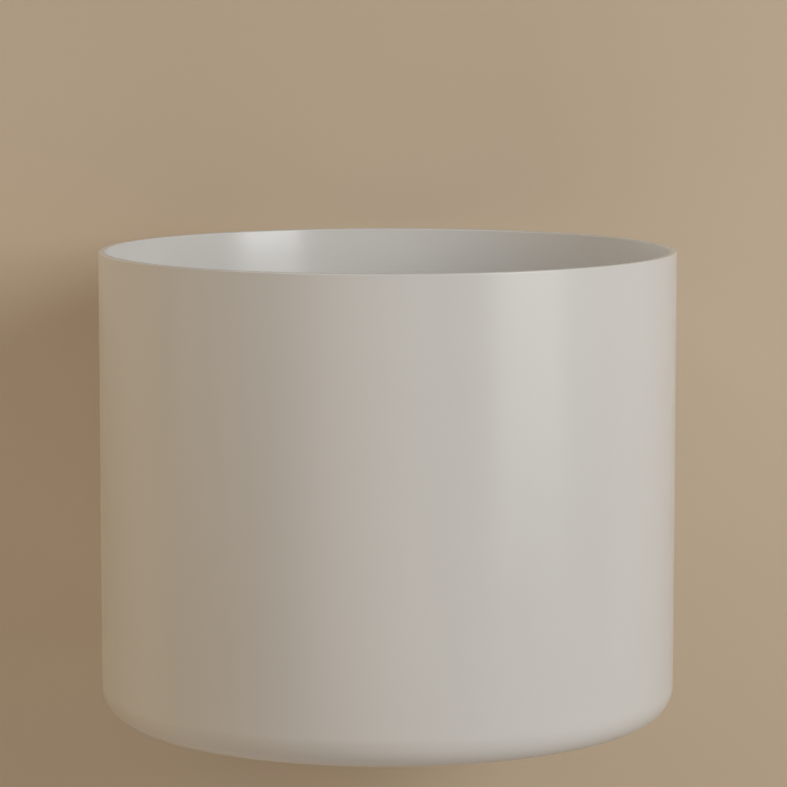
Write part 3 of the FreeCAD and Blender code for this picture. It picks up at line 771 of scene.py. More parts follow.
def grow(name: str, tree: bpy.types.NodeTree, values: dict[str, object]) -> bpy.types.Mesh:
    """Run a geometry node tree once and return its plain mesh.

    Args:
        name: the mesh's name.
        tree: the tree.
        values: its inputs by name.

    Returns:
        The mesh that the tree makes.
    """
    seed = bpy.data.objects.new(name, bpy.data.meshes.new(name))
    bpy.context.scene.collection.objects.link(seed)
    modifier = seed.modifiers.new(name, "NODES")
    modifier.node_group = tree
    for item in tree.interface.items_tree:
        if item.item_type == "SOCKET" and item.in_out == "INPUT" and item.name in values:
            modifier[item.identifier] = values[item.name]
    bpy.context.view_layer.update()
    return baked(seed, 40.0)


# ---------------------------------------------------------------- the shop floor

@dataclass
class Workshop:
    """What every sub-assembly needs: the finishes, the trees and the way pieces are set up."""

    finishes: Finishes
    helix: bpy.types.NodeTree
    grips: bpy.types.NodeTree

    def keep(self, node: str, finish: Finish) -> None:
        """Dress a solid of the frame whose shape is right.

        Args:
            node: the solid's name.
            finish: its finish.
        """
        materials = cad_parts[node].data.materials
        materials.clear()
        materials.append(finish.material)
        log.info("dressed %s", node)

    def show(self, name: str, node: str, finish: Finish, mesh: bpy.types.Mesh,
             body: str = "basin") -> None:
        """Make a mesh a piece that rides on a body and stands for a solid of the frame.

        Args:
            name: the piece's name.
            node: the solid that it stands for.
            finish: its finish.
            mesh: its mesh.
            body: the body that it rides on.
        """
        piece = new_object(name, mesh, finish.material)
        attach(piece, body)
        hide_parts(node)
        log.info("made %s (%d faces)", name, len(mesh.polygons))

    def show_turned(self, name: str, node: str, finish: Finish, corners: list[Corner],
                    steps: int, body: str = "basin") -> None:
        """Make one piece that is turned about the bowl's axis.

        Args:
            name: the piece's name.
            node: the solid that it stands for.
            finish: its finish.
            corners: its outline, as rounded() takes it.
            steps: faces around.
            body: the body that it rides on.
        """
        self.show(name, node, finish, Turned(name, corners, steps=steps).mesh(), body)

    def thread(self, name: str, finish: Finish, place: Vector, way: Way, *,
               radius: float, pitch: float, length: float, section: float) -> bpy.types.Mesh:
        """Wind a helical ridge, with its sizes in millimetres.

        Args:
            name: the mesh's name.
            finish: its finish.
            place: where it starts, in metres.
            way: which way it runs.
            radius: from the axis to the ridge's middle.
            pitch: the rise per turn.
            length: how far it runs.
            section: half the ridge's width.

        Returns:
            The ridge's mesh.
        """
        return grow(name, self.helix, {
            "Radius": radius * MM, "Pitch": pitch * MM, "Length": length * MM,
            "Section": section * MM, "Sides": RIDGE_SIDES, "Place": place,
            "Turn": way.value, "Finish": finish.material})

    def ribs(self, name: str, finish: Finish, place: Vector, way: Way, *,
             count: int, radius: float, width: float, height: float) -> bpy.types.Mesh:
        """Set out a ring of upright ribs, with their sizes in millimetres.

        Args:
            name: the mesh's name.
            finish: its finish.
            place: its centre, in metres.
            way: which way its axis points.
            count: how many ribs.
            radius: from the axis to a rib's middle.
            width: a rib's width.
            height: a rib's height without its round ends.

        Returns:
            The ribs' mesh.
        """
        return grow(name, self.grips, {
            "Count": count, "Radius": radius * MM, "Width": width * MM,
            "Height": height * MM, "Place": place, "Turn": way.value,
            "Finish": finish.material})


# ---------------------------------------------------------------- the basin

@dataclass
class Basin:
    """Cast drum in satin glaze: thin rounded rim, deep bowl, open skirt and flat spine."""

    shop: Workshop
    casting: str = "basin_body"
    easing: float = 1.2

    def build(self) -> None:
        """Make the drum from the casting's solid with eased edges and an even skin."""
        mesh = eased(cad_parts[self.casting], "drum", self.easing * MM)
        self.shop.show("drum", self.casting, self.shop.finishes.glaze, mesh)


# ---------------------------------------------------------------- wall fixings

@dataclass
class WallFixings:
    """Two hanger bolts with bush, washer and nut."""

    shop: Workshop
    pitch: float = 150.0
    wood_radius: float = 5.0
    wood_pitch: float = 4.0
    wood_depth: float = 1.25
    fine_radius: float = 4.8
    fine_pitch: float = 1.5
    fine_depth: float = 0.75
    front: float = 62.0
    depth: float = 65.0
    tip: float = 9.0
    bush_face: float = 39.0
    bush_edge: float = 16.0
    bush_end: float = 4.0
    boss_face: float = 36.0
    bush_radius: float = 11.9
    waist: float = 0.8
    washer_face: float = 41.0
    nut_face: float = 49.0
    nut_flats: float = 17.0
    nut_chamfer: float = 1.0

    def centres(self) -> list[Vector]:
        """Return the two centres on the wall plane, in metres."""
        return [spot(side * self.pitch / 2, 0.0, 0.0) for side in (-1, 1)]

    def build(self) -> None:
        """Make the bolts, bushes, washers and nuts."""
        made = self.shop.finishes
        for name, node, finish, maker in (
                ("wall_bolts", "hanger_bolts", made.zinc, self.bolt),
                ("wall_bushes", "fixing_bushes", made.nylon, self.bush),
                ("wall_washers", "fixing_washers", made.zinc, self.washer),
                ("wall_nuts", "fixing_nuts", made.zinc, self.nut)):
            meshes = [mesh for centre in self.centres() for mesh in maker(centre)]
            self.shop.show(name, node, finish, joined(name, meshes))

    def bolt(self, centre: Vector) -> list[bpy.types.Mesh]:
        """Make one hanger bolt: fine thread in front, coarse thread in the wall.

        Args:
            centre: the bolt's place on the wall plane, in metres.

        Returns:
            Its core and its two threads.
        """
        fine_core = self.fine_radius - self.fine_depth
        coarse_core = self.wood_radius - self.wood_depth
        shank = self.fine_radius - 0.1
        core = Turned("bolt_core", [
            (0.0, -self.front, 0.0), (fine_core - 0.6, -self.front, 0.3),
            (fine_core, -self.front + 1.2, 0.3), (fine_core, -3.0, 0.3), (shank, -2.0, 0.3),
            (shank, 1.5, 0.3), (coarse_core, 3.0, 0.3),
            (coarse_core, self.depth - self.tip - 4.0, 0.5), (0.6, self.depth - 0.4, 0.3),
            (0.0, self.depth, 0.0)], centre, Way.INTO_WALL, 32)
        zinc = self.shop.finishes.zinc
        fine_start = centre + spot(0.0, -self.front + 1.5, 0.0)
        coarse_start = centre + spot(0.0, 4.0, 0.0)
        fine = self.shop.thread("fine_thread", zinc, fine_start, Way.INTO_WALL,
                                radius=self.fine_radius - 0.76, pitch=self.fine_pitch,
                                length=self.front - 4.5, section=self.fine_depth)
        coarse = self.shop.thread("coarse_thread", zinc, coarse_start, Way.INTO_WALL,
                                  radius=self.wood_radius - 0.96, pitch=self.wood_pitch,
                                  length=self.depth - 18.0, section=0.95)
        return [core.mesh(), fine, coarse]

    def bush(self, centre: Vector) -> list[bpy.types.Mesh]:
        """Make one flanged bush with a relieved waist on its body.

        Args:
            centre: the bolt's place on the wall plane, in metres.

        Returns:
            The bush.
        """
        bore = self.fine_radius + 0.15
        flange_back = -self.boss_face - 0.02
        waist = self.bush_radius - self.waist
        body = Turned("bush", [
            (bore, -self.bush_face, 0.4), (self.bush_edge, -self.bush_face, 0.8),
            (self.bush_edge, flange_back, 0.4), (self.bush_radius, flange_back, 0.2),
            (self.bush_radius, -28.0, 0.3), (waist, -27.2, 0.3), (waist, -12.8, 0.3),
            (self.bush_radius, -12.0, 0.3), (self.bush_radius, -self.bush_end - 1.0, 0.4),
            (self.bush_radius - 1.0, -self.bush_end, 0.4), (bore, -self.bush_end, 0.3)],
            centre, Way.INTO_WALL, 64)
        return [body.mesh()]

    def washer(self, centre: Vector) -> list[bpy.types.Mesh]:
        """Make one stamped washer with a rolled front edge.

        Args:
            centre: the bolt's place on the wall plane, in metres.

        Returns:
            The washer.
        """
        bore = self.fine_radius + 0.2
        edge = self.bush_edge - 1.0
        ring = Turned("washer", [
            (bore, -self.washer_face, 0.3), (edge, -self.washer_face, 0.7),
            (edge, -self.bush_face, 0.2), (bore, -self.bush_face, 0.2)], centre, Way.INTO_WALL, 64)
        return [ring.mesh()]

    def nut(self, centre: Vector) -> list[bpy.types.Mesh]:
        """Make one hexagon nut with turned chamfers.

        Args:
            centre: the bolt's place on the wall plane, in metres.

        Returns:
            The nut.
        """
        mesh = hexagon_nut("nut", self.nut_flats, self.fine_radius + 0.12,
                           self.nut_face - self.washer_face, self.nut_chamfer)
        mesh.transform(Way.INTO_WALL.at(centre + spot(0.0, -self.nut_face, 0.0)))
        return [mesh]


def hexagon_nut(name: str, flats: float, bore: float, height: float, chamfer: float,
                ease: float = 0.5, steps: int = 96) -> bpy.types.Mesh:
    """Make a hexagon nut on the Z axis from its base at zero, with curved chamfer lines.

    Args:
        name: the mesh's name.
        flats: width across flats in millimetres.
        bore: radius of the hole.
        height: its height.
        chamfer: how far the corners are turned down at each face.
        ease: how far the hole's edges are turned down.
        steps: faces around.

    Returns:
        The nut's mesh in metres.
    """
    shape = bmesh.new()
    face_radius = flats / math.sqrt(3) - chamfer
    rings = []
    for step in range(steps):
        angle = 2 * math.pi * step / steps
        wall = flats / 2 / math.cos(angle % (math.pi / 3) - math.pi / 6)
        drop = max(wall - face_radius, 0.0) / 2
        inner = min(wall, face_radius)
        profile = [(bore + ease, 0.0), (inner, 0.0), (wall, drop), (wall, height - drop),
                   (inner, height), (bore + ease, height), (bore, height - ease), (bore, ease)]
        rings.append([shape.verts.new((r * math.cos(angle) * MM, r * math.sin(angle) * MM, z * MM))
                      for r, z in profile])
    for here, there in zip(rings, rings[1:] + rings[:1]):
        for index in range(len(here)):
            following = (index + 1) % len(here)
            shape.faces.new([here[index], there[index], there[following], here[following]])
    bmesh.ops.remove_doubles(shape, verts=shape.verts, dist=1e-6)
    bmesh.ops.recalc_face_normals(shape, faces=shape.faces)
    return meshed(name, shape, 20.0)


# ---------------------------------------------------------------- waste

@dataclass
class Waste:
    """Flanged waste clamped through the floor of the bowl by a washer, a seal and a back nut."""

    shop: Workshop
    tail: float = 6.0
    thread: float = 20.95
    thread_pitch: float = 2.3
    thread_length: float = 50.0
    thread_section: float = 1.2
    play: float = 0.15
    bore: float = 17.0
    flange: float = 31.5
    flange_low: float = 69.0
    flange_top: float = 71.0
    seat: float = 27.0
    neck: float = 22.5
    flat_seal: float = 29.9
    floor_top: float = 68.0
    floor_low: float = 56.0
    seal_low: float = 50.0
    washer_low: float = 48.0
    nut_low: float = 38.0
    nut_flats: float = 54.0
    nut_chamfer: float = 2.0
    seal_edge: float = 33.0
    hub_bore: float = 5.1
    hub_edge: float = 7.1
    hub_low: float = 28.0
    hub_top: float = 38.0
    webs: int = 4
    web_width: float = 3.0
    web_easing: float = 0.45

    def build(self) -> None:
        """Make the waste and everything that clamps it."""
        made = self.shop.finishes
        around_neck, around_thread = self.neck + self.play, self.thread + self.play
        slip_bore = self.thread + 0.2
        self.shop.show("waste_tube", "waste_body", made.brass, joined("waste_tube", self.tube()))
        self.shop.show_turned("waste_flat_seal", "waste_top_seal", made.rubber, [
            (around_neck, self.floor_top, 0.2), (self.flat_seal, self.floor_top, 0.45),
            (self.flat_seal, self.flange_low, 0.45), (around_neck, self.flange_low, 0.2)], 128)
        self.shop.show_turned("waste_cone_seal", "waste_under_seal", made.rubber, [
            (around_thread, self.seal_low, 0.4), (self.seal_edge, self.seal_low, 0.7),
            (self.seal_edge, self.seal_low + 3.0, 0.7), (self.seal_edge - 3.0, self.floor_low, 0.6),
            (around_thread, self.floor_low, 0.4)], 128)
        self.shop.show_turned("waste_washer", "waste_slip_washer", made.plastic, [
            (slip_bore, self.washer_low, 0.3), (self.seal_edge, self.washer_low, 0.6),
            (self.seal_edge, self.seal_low, 0.3), (slip_bore, self.seal_low, 0.3)], 128)
        nut = hexagon_nut("waste_nut", self.nut_flats, around_thread,
                          self.washer_low - self.nut_low, self.nut_chamfer)
        nut.transform(Matrix.Translation(on_axis(self.nut_low)))
        self.shop.show("waste_nut", "waste_back_nut", made.brass, nut)

    def tube(self) -> list[bpy.types.Mesh]:
        """Make the flanged tube, its thread and the cross that holds the plug's hub.

        Returns:
            The meshes of the waste's body.
        """
        core = self.thread - 0.8
        tube = Turned("waste_core", [
            (self.bore, self.tail, 0.4), (core, self.tail, 0.4), (core, 58.5, 0.3),
            (self.thread, 60.0, 0.5), (self.thread, 61.0, 0.5), (self.neck, 64.0, 0.5),
            (self.neck, self.flange_low, 0.2), (self.flange, self.flange_low, 0.5),
            (self.flange, self.flange_top, 0.9), (self.seat, self.flange_top, 0.5),
            (self.bore, self.flange_top - 3.5, 0.5)], steps=160)
        thread = self.shop.thread("waste_thread", self.shop.finishes.brass,
                                  on_axis(self.tail + 1.4), Way.UP,
                                  radius=core - 0.42, pitch=self.thread_pitch,
                                  length=self.thread_length, section=self.thread_section)
        hub = Turned("hub", [
            (self.hub_bore, self.hub_low, 0.3), (self.hub_edge, self.hub_low, 0.5),
            (self.hub_edge, self.hub_top, 0.5), (self.hub_bore, self.hub_top, 0.3)], steps=48)
        return [tube.mesh(), thread, hub.mesh()] + [self.web(turn) for turn in range(self.webs)]

    def web(self, turn: int) -> bpy.types.Mesh:
        """Make one of the webs between the hub and the tube.

        Args:
            turn: which of them, counted around.

        Returns:
            The web.
        """
        start, end = self.hub_edge - 0.7, self.bore + 1.2
        middle, height = (self.hub_low + self.hub_top) / 2, self.hub_top - self.hub_low
        shape = bmesh.new()
        bmesh.ops.create_cube(shape, size=1.0)
        for vert in shape.verts:
            along, across, up = vert.co
            vert.co = Vector(((start + (along + 0.5) * (end - start)) * MM,
                              across * self.web_width * MM, (middle + up * height) * MM))
        bmesh.ops.bevel(shape, geom=list(shape.edges), offset=self.web_easing * MM, segments=2,
                        affect="EDGES", profile=0.5)
        spin = Matrix.Rotation(turn * 2 * math.pi / self.webs, 4, "Z")
        bmesh.ops.transform(shape, matrix=Matrix.Translation(BOWL_AXIS) @ spin, verts=shape.verts)
        return meshed("web", shape)


@dataclass
class Plug:
    """Push-open plug: domed cap, rubber ring, stem, and the sleeve and spring that hold it."""

    shop: Workshop
    cap: float = 31.0
    cap_low: float = 71.6
    cap_edge: float = 72.8
    crown: float = 4.2
    arc_share: float = 0.985
    arc_steps: int = 14
    core: float = 17.9
    core_low: float = 68.6
    ring: float = 26.0
    ring_bore: float = 18.0
    stem: float = 3.0
    stem_low: float = 29.0
    collar: float = 6.3
    collar_low: float = 49.6
    collar_top: float = 51.6
    tip: float = 2.4
    guide: float = 5.0
    guide_low: float = 28.0
    guide_bore: float = 3.2
    sleeve: float = 9.0
    sleeve_low: float = 38.0
    sleeve_top: float = 62.0
    sleeve_bore: float = 6.5
    waist: float = 8.5

    def build(self) -> None:
        """Make the moving pieces and the fixed sleeve with its spring."""
        made = self.shop.finishes
        for name, node, finish, corners, steps, body in (
                ("plug_dome", "plug_cap", made.black, self.dome(), 192, "plug"),
                ("plug_ring", "plug_seal", made.rubber, self.seal(), 128, "plug"),
                ("plug_pin", "plug_stem", made.brass, self.pin(), 48, "plug"),
                ("plug_sleeve", "cartridge_sleeve", made.plastic, self.cartridge(), 64, "basin")):
            self.shop.show_turned(name, node, finish, corners, steps, body)
        self.shop.keep("cartridge_spring", made.wire)

    def dome(self) -> list[Corner]:
        """Draw the outline of the cap: a rounded edge, a shallow dome and a plain core below.

        Returns:
            The corners, as rounded() takes them.
        """
        bend = (self.cap ** 2 + self.crown ** 2) / 2 / self.crown
        base = self.cap_edge + self.crown - bend
        arc = []
        for step in range(1, self.arc_steps):
            radius = self.cap * (1.0 - step / self.arc_steps) * self.arc_share
            arc.append((radius, base + math.sqrt(bend ** 2 - radius ** 2), 0.0))
        return [(0.0, 70.6, 0.0), (14.0, 70.6, 0.8), (15.0, self.core_low, 0.4),
                (self.core, self.core_low, 0.4), (self.core, self.cap_low, 0.3),
                (self.cap, self.cap_low, 0.35), (self.cap, self.cap_edge + 0.2, 0.7), *arc,
                (0.0, self.cap_edge + self.crown, 0.0)]

    def seal(self) -> list[Corner]:
        """Draw the outline of the ring: a flat top and a lip that tapers to the seat.

        Returns:
            The corners, as rounded() takes them.
        """
        return [(self.ring_bore, self.core_low, 0.3), (21.8, self.core_low, 0.6),
                (self.ring, 71.2, 0.35), (self.ring, self.cap_low, 0.15),
                (self.ring_bore, self.cap_low, 0.3)]

    def pin(self) -> list[Corner]:
        """Draw the outline of the stem with the collar that the spring lifts.

        Returns:
            The corners, as rounded() takes them.
        """
        return [(0.0, self.stem_low, 0.0), (self.stem, self.stem_low, 0.6),
                (self.stem, self.collar_low, 0.2), (self.collar, self.collar_low, 0.3),
                (self.collar, self.collar_top, 0.3), (self.stem, self.collar_top, 0.2),
                (self.stem, 66.6, 0.2), (self.tip, 67.2, 0.2), (self.tip, self.cap_edge, 0.2),
                (0.0, self.cap_edge, 0.0)]

    def cartridge(self) -> list[Corner]:
        """Draw the outline of the sleeve: a waisted shell over the guide that sits in the hub.

        Returns:
            The corners, as rounded() takes them.
        """
        return [(self.guide_bore, self.guide_low, 0.2), (self.guide, self.guide_low, 0.5),
                (self.guide, self.sleeve_low, 0.2), (self.sleeve, self.sleeve_low, 0.6),
                (self.sleeve, 45.0, 0.3), (self.waist, 45.6, 0.2), (self.waist, 54.4, 0.2),
                (self.sleeve, 55.0, 0.3), (self.sleeve, self.sleeve_top, 0.7),
                (self.sleeve_bore, self.sleeve_top, 0.4), (self.sleeve_bore, 41.0, 0.5),
                (self.guide_bore, 41.0, 0.2)]


# ---------------------------------------------------------------- trap

@dataclass
class Coupling:
    """Moulded union nut with finger ribs: its lip starts at the place, its thread runs back from it."""

    shop: Workshop
    name: str
    node: str
    place: Vector
    way: Way
    outer: float = 27.0
    bead: float = 0.8
    lip_bore: float = 16.3
    thread_bore: float = 21.1
    lip: float = 4.0
    depth: float = 18.0
    grip_top: float = 2.0
    ribs: int = 12
    rib_width: float = 3.0
    rib_inset: float = 0.4

    def build(self) -> None:
        """Make the nut."""
        body = Turned(self.name, [
            (self.lip_bore, self.lip - 0.4, 0.5), (self.lip_bore + 1.2, self.lip, 0.5),
            (self.outer - 1.6, self.lip, 1.4), (self.outer, self.lip - 2.4, 0.8),
            (self.outer, -self.depth + 2.2, 0.5), (self.outer + self.bead, -self.depth + 1.4, 0.5),
            (self.outer + self.bead, -self.depth, 0.5), (self.thread_bore + 0.8, -self.depth, 0.4),
            (self.thread_bore, -self.depth + 0.9, 0.3), (self.thread_bore, 0.0, 0.4),
            (self.lip_bore, 0.0, 0.3)], self.place, self.way, 128)
        grip = self.depth + self.grip_top
        middle = spot(0.0, 0.0, -self.depth + grip / 2)
        plastic = self.shop.finishes.plastic
        ribs = self.shop.ribs(self.name + "_ribs", plastic,
                              self.place + self.way.value.to_matrix() @ middle, self.way,
                              count=self.ribs, radius=self.outer + self.rib_inset,
                              width=self.rib_width, height=grip - self.rib_width)
        self.shop.show(self.name, self.node, plastic, joined(self.name, [body.mesh(), ribs]))


@dataclass
class Trap:
    """Bottle trap: dip tube, body with its side branch, screw-on cup and three couplings."""

    shop: Workshop
    inlet_z: float = 0.5
    neck_z: float = -10.0
    outlet_y: float = -151.0
    outlet_z: float = -55.0
    pipe: float = 16.0
    pipe_bore: float = 14.0
    dip_low: float = -119.4
    dip_top: float = 3.0
    dip_flange: float = 20.85
    thread: float = 20.95
    bore: float = 16.3
    neck_top: float = -16.0
    wide: float = 32.0
    wide_bore: float = 29.0
    collar: float = 31.0
    collar_top: float = -78.0
    bottle_low: float = -90.0
    branch_start: float = 28.2
    branch_end: float = -157.0
    cup_low: float = -137.4
    cup_top: float = -79.0
    cup_wide: float = 35.3
    cup_floor: float = -134.4
    ribs: int = 12
    rib_width: float = 3.0
    rib_height: float = 11.0
    rib_z: float = -89.0

    def build(self) -> None:
        """Make every piece of the trap."""
        made = self.shop.finishes
        outlet = spot(0.0, self.outlet_y, self.outlet_z)
        for name, node, place, way in (
                ("inlet_coupling", "trap_inlet_nut", on_axis(self.inlet_z), Way.DOWN),
                ("neck_coupling", "trap_neck_nut", on_axis(self.neck_z), Way.UP),
                ("outlet_coupling", "trap_outlet_nut", outlet, Way.INTO_WALL)):
            Coupling(self.shop, name, node, place, way).build()
        for seal in ("trap_inlet_seal", "trap_neck_seal", "trap_outlet_seal", "trap_cup_seal"):
            self.shop.keep(seal, made.rubber)
        for name, node, meshes in (("dip_tube", "trap_dip_tube", [self.dip_tube()]),
                                   ("trap_bottle", "trap_body", [self.bottle(), self.branch()]),
                                   ("trap_cap", "trap_cup", self.cup())):
            self.shop.show(name, node, made.plastic, joined(name, meshes))

    def dip_tube(self) -> bpy.types.Mesh:
        """Make the flanged tube that hangs into the water.

        Returns:
            The tube.
        """
        return Turned("dip_tube", [
            (self.pipe_bore, self.dip_low, 0.4), (self.pipe, self.dip_low, 0.8),
            (self.pipe, 0.5, 0.6), (self.dip_flange, 0.5, 0.4), (self.dip_flange, self.dip_top, 0.4),
            (self.pipe_bore + 0.8, self.dip_top, 0.4), (self.pipe_bore, self.dip_top - 1.0, 0.4)],
            steps=96).mesh()

    def bottle(self) -> bpy.types.Mesh:
        """Make the upper half of the bottle with its threaded neck and its collar.

        Returns:
            The shell.
        """
        rim, wall = self.collar - 0.8, self.wide - 0.7
        return Turned("bottle", [
            (self.wide_bore, self.bottle_low, 0.4), (rim, self.bottle_low, 0.4), (rim, -80.0, 0.3),
            (self.collar, -79.2, 0.2), (self.collar, self.collar_top, 0.2),
            (self.wide, self.collar_top, 0.6), (self.wide, -75.4, 0.6), (wall, -74.6, 0.5),
            (wall, -34.5, 0.8), (self.wide, -33.7, 0.5), (self.wide, -31.6, 1.6),
            (self.thread, -28.0, 1.2), (self.thread, self.neck_top, 0.6),
            (self.bore, self.neck_top, 0.4), (self.bore, -30.2, 0.8), (self.wide_bore, -34.5, 2.0)],
            steps=160).mesh()

    def branch(self) -> bpy.types.Mesh:
        """Make the side branch, flared where it leaves the bottle.

        Returns:
            The branch.
        """
        start = BOWL_Y + self.branch_start
        return Turned("branch", [
            (self.bore, start, 0.3), (24.6, start, 0.3), (23.6, start + 4.6, 2.5),
            (self.thread, start + 8.4, 3.0), (self.thread, self.branch_end, 0.6),
            (self.bore, self.branch_end, 0.5)],
            spot(0.0, 0.0, self.outlet_z), Way.INTO_WALL, 128).mesh()

    def cup(self) -> list[bpy.types.Mesh]:
        """Make the screw-on cup with its finger ribs and its stepped foot.

        Returns:
            The shell and the ribs.
        """
        raised = self.cup_low + 0.7
        shell = Turned("cup", [
            (0.0, self.cup_low, 0.0), (8.0, self.cup_low, 0.5), (9.0, raised, 0.5),
            (20.0, raised, 0.5), (21.0, self.cup_low, 0.5), (29.3, self.cup_low, 2.6),
            (31.4, -124.0, 12.0), (32.6, -101.5, 3.0), (self.cup_wide, -97.6, 1.6),
            (self.cup_wide, -80.4, 0.5), (self.cup_wide - 0.9, self.cup_top, 0.6),
            (31.5, self.cup_top, 0.5), (31.3, -93.0, 0.3), (28.0, -93.0, 0.5),
            (25.0, self.cup_floor, 3.0), (0.0, self.cup_floor, 0.0)], steps=160).mesh()
        ribs = self.shop.ribs("cup_ribs", self.shop.finishes.plastic, on_axis(self.rib_z), Way.UP,
                              count=self.ribs, radius=self.cup_wide + 0.4,
                              width=self.rib_width, height=self.rib_height)
        return [shell, ribs]


# ---------------------------------------------------------------- outlet

@dataclass
class Outlet:
    """Straight pipe into the wall with its insertion mark, and the rosette around it."""

    shop: Workshop
    height: float = -55.0
    pipe: float = 16.0
    wall: float = 1.6
    start: float = -165.0
    end: float = 60.0
    mark: float = 0.3
    rim: float = 31.0
    collar: float = -10.0
    collar_bore: float = 16.1

    def build(self) -> None:
        """Make the pipe and the rosette."""
        plastic = self.shop.finishes.plastic
        place = spot(0.0, 0.0, self.height)
        for name, node, corners in (("outlet_pipe", "waste_pipe", self.tube()),
                                    ("outlet_rosette", "wall_rosette", self.rosette())):
            mesh = Turned(name, corners, place, Way.INTO_WALL, 160).mesh()
            self.shop.show(name, node, plastic, mesh)

    def tube(self) -> list[Corner]:
        """Draw the outline of the pipe with its insertion mark at the wall.

        Returns:
            The corners, as rounded() takes them.
        """
        bore, marked = self.pipe - self.wall, self.pipe - self.mark
        return [(bore, self.start, 0.5), (self.pipe, self.start, 0.7), (self.pipe, 0.0, 0.12),
                (marked, 0.3, 0.1), (marked, 1.7, 0.1), (self.pipe, 2.0, 0.12),
                (self.pipe, self.end - 1.5, 0.6), (self.pipe - 0.9, self.end, 0.3),
                (bore, self.end, 0.3)]

    def rosette(self) -> list[Corner]:
        """Draw the outline of the thin bell around the pipe.

        Returns:
            The corners, as rounded() takes them.
        """
        return [(self.rim, 0.0, 0.3), (self.rim, -1.5, 0.5), (self.rim - 1.6, -2.6, 0.8),
                (21.0, self.collar, 3.0), (self.collar_bore, self.collar, 0.5),
                (self.collar_bore, -8.5, 0.4), (20.25, -8.5, 2.0), (self.rim - 3.0, 0.0, 0.3)]


# ---------------------------------------------------------------- studio

@dataclass
class Lamp:
    """One soft rectangular lamp, turned to a point of the object."""

    name: str
    place: Corner
    width: float
    height: float
    power: float
    colour: Colour = (1.0, 1.0, 1.0)
    target: Corner = (0.0, -0.2, 0.02)
    in_gloss: bool = True

    def hang(self) -> None:
        """Add the lamp to the scene."""
        data = bpy.data.lights.new(self.name, "AREA")
        data.shape = "RECTANGLE"
        data.size = self.width
        data.size_y = self.height
        data.energy = self.power
        data.color = self.colour
        lamp = bpy.data.objects.new(self.name, data)
        lamp.location = self.place
        aim = Vector(self.target) - Vector(self.place)
        lamp.rotation_euler = aim.to_track_quat("-Z", "Y").to_euler()
        lamp.visible_glossy = self.in_gloss
        bpy.context.scene.collection.objects.link(lamp)


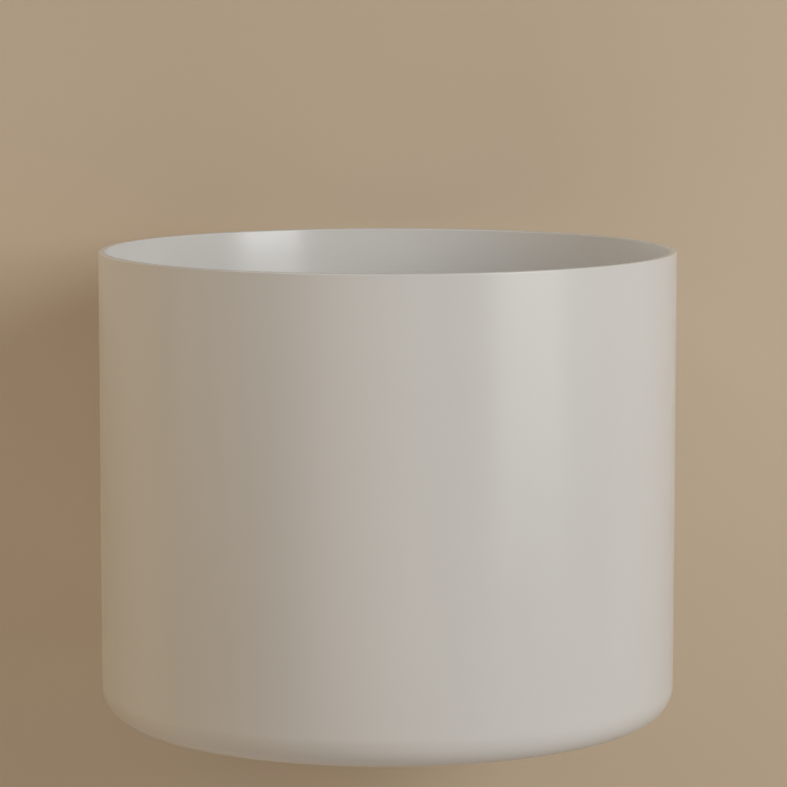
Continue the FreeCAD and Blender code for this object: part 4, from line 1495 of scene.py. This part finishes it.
@dataclass
class Studio:
    """Camera, pale floor and backdrop, and soft light from the right."""

    camera_place: Corner = (0.0044, -2.92, 0.4203)
    camera_fall: float = 6.827
    lens: float = 166.2
    sensor: float = 36.0
    wall_colour: Colour = (0.735, 0.62, 0.482)
    floor_colour: Colour = (0.74, 0.68, 0.61)
    wall_y: float = 0.004
    wall_top: float = 6.0
    floor_z: float = -0.85
    floor_front: float = -4.6
    half_width: float = 7.0
    world_colour: Colour = (1.0, 0.82, 0.62)
    world_strength: float = 0.2
    background_colour: Colour = (0.72, 0.68, 0.62)
    lamps: tuple[Lamp, ...] = (
        Lamp("key", (2.3, -1.95, 1.15), 1.5, 1.5, 34.0, (0.955, 0.985, 1.0)),
        Lamp("window", (2.47, -1.9, 0.57), 1.65, 2.0, 16.5, (0.94, 0.98, 1.0)),
        Lamp("fill", (-2.6, -0.3, 0.2), 3.6, 2.2, 18.0, (1.0, 0.645, 0.21), in_gloss=False),
        Lamp("front", (-0.3, -3.2, -0.2), 2.4, 1.6, 5.4, (1.0, 0.95, 0.92)),
        Lamp("top", (-1.0, -1.0, 2.0), 1.6, 1.6, 11.0, (0.78, 0.90, 1.0)),
        Lamp("side", (1.9, 1.75, 0.5), 2.8, 2.0, 23.0, (1.0, 0.98, 0.98)),
        Lamp("back", (-1.3, 2.4, 0.7), 1.6, 1.6, 14.0, (1.0, 0.98, 0.95)),
        Lamp("under", (0.3, -1.6, -1.9), 1.6, 1.6, 7.0, (1.0, 0.97, 0.95)),
    )

    def build(self) -> None:
        """Set up everything around the object."""
        self.set_camera()
        self.set_backdrop()
        self.set_world()
        for lamp in self.lamps:
            lamp.hang()

    def set_camera(self) -> None:
        """Aim the camera as the photograph was taken: level in roll, tipped down a little."""
        data = bpy.data.cameras.new("view")
        data.lens = self.lens
        data.sensor_width = self.sensor
        camera = bpy.data.objects.new("view", data)
        camera.location = self.camera_place
        camera.rotation_euler = (math.radians(90.0 - self.camera_fall), 0.0, 0.0)
        bpy.context.scene.collection.objects.link(camera)
        bpy.context.scene.camera = camera

    def set_backdrop(self) -> None:
        """Stand a painted wall behind the drum and lay a floor under it."""
        left, right, back, low = -self.half_width, self.half_width, self.wall_y, self.floor_z
        wall = [(left, back, low), (right, back, low),
                (right, back, self.wall_top), (left, back, self.wall_top)]
        floor = [(left, self.floor_front, low), (right, self.floor_front, low),
                 (right, back, low), (left, back, low)]
        for name, corners, paint in (
                ("backdrop", wall, StudioPaint("wall_paint", self.wall_colour)),
                ("floor", floor, StudioPaint("floor_paint", self.floor_colour))):
            mesh = bpy.data.meshes.new(name)
            mesh.from_pydata(corners, [], [(0, 1, 2, 3)])
            new_object(name, mesh, paint.build())

    def set_world(self) -> None:
        """Light everything a little from all around, in front of a pale background."""
        world = bpy.data.worlds.new("room")
        bpy.context.scene.world = world
        paint = Paint("room", world)
        seen = seen_ray(paint)
        strength = paint.span(seen, 0.0, 1.0, self.world_strength, 1.0)
        colour = paint.blend(seen, self.world_colour, self.background_colour)
        sky = paint.add("Background", {"Color": colour, "Strength": strength})
        paint.put(paint.output.inputs["Surface"], sky.outputs["Background"])


def main() -> None:
    """Build the sub-assemblies in order."""
    logging.basicConfig(level=logging.INFO, format="%(name)s: %(message)s")
    bpy.context.scene.view_settings.view_transform = "Standard"
    shop = Workshop(Finishes.mix(), helix_recipe(), grip_recipe())
    Basin(shop).build()
    WallFixings(shop).build()
    Waste(shop).build()
    Plug(shop).build()
    Trap(shop).build()
    Outlet(shop).build()
    Studio().build()


if __name__ == "__main__":
    main()
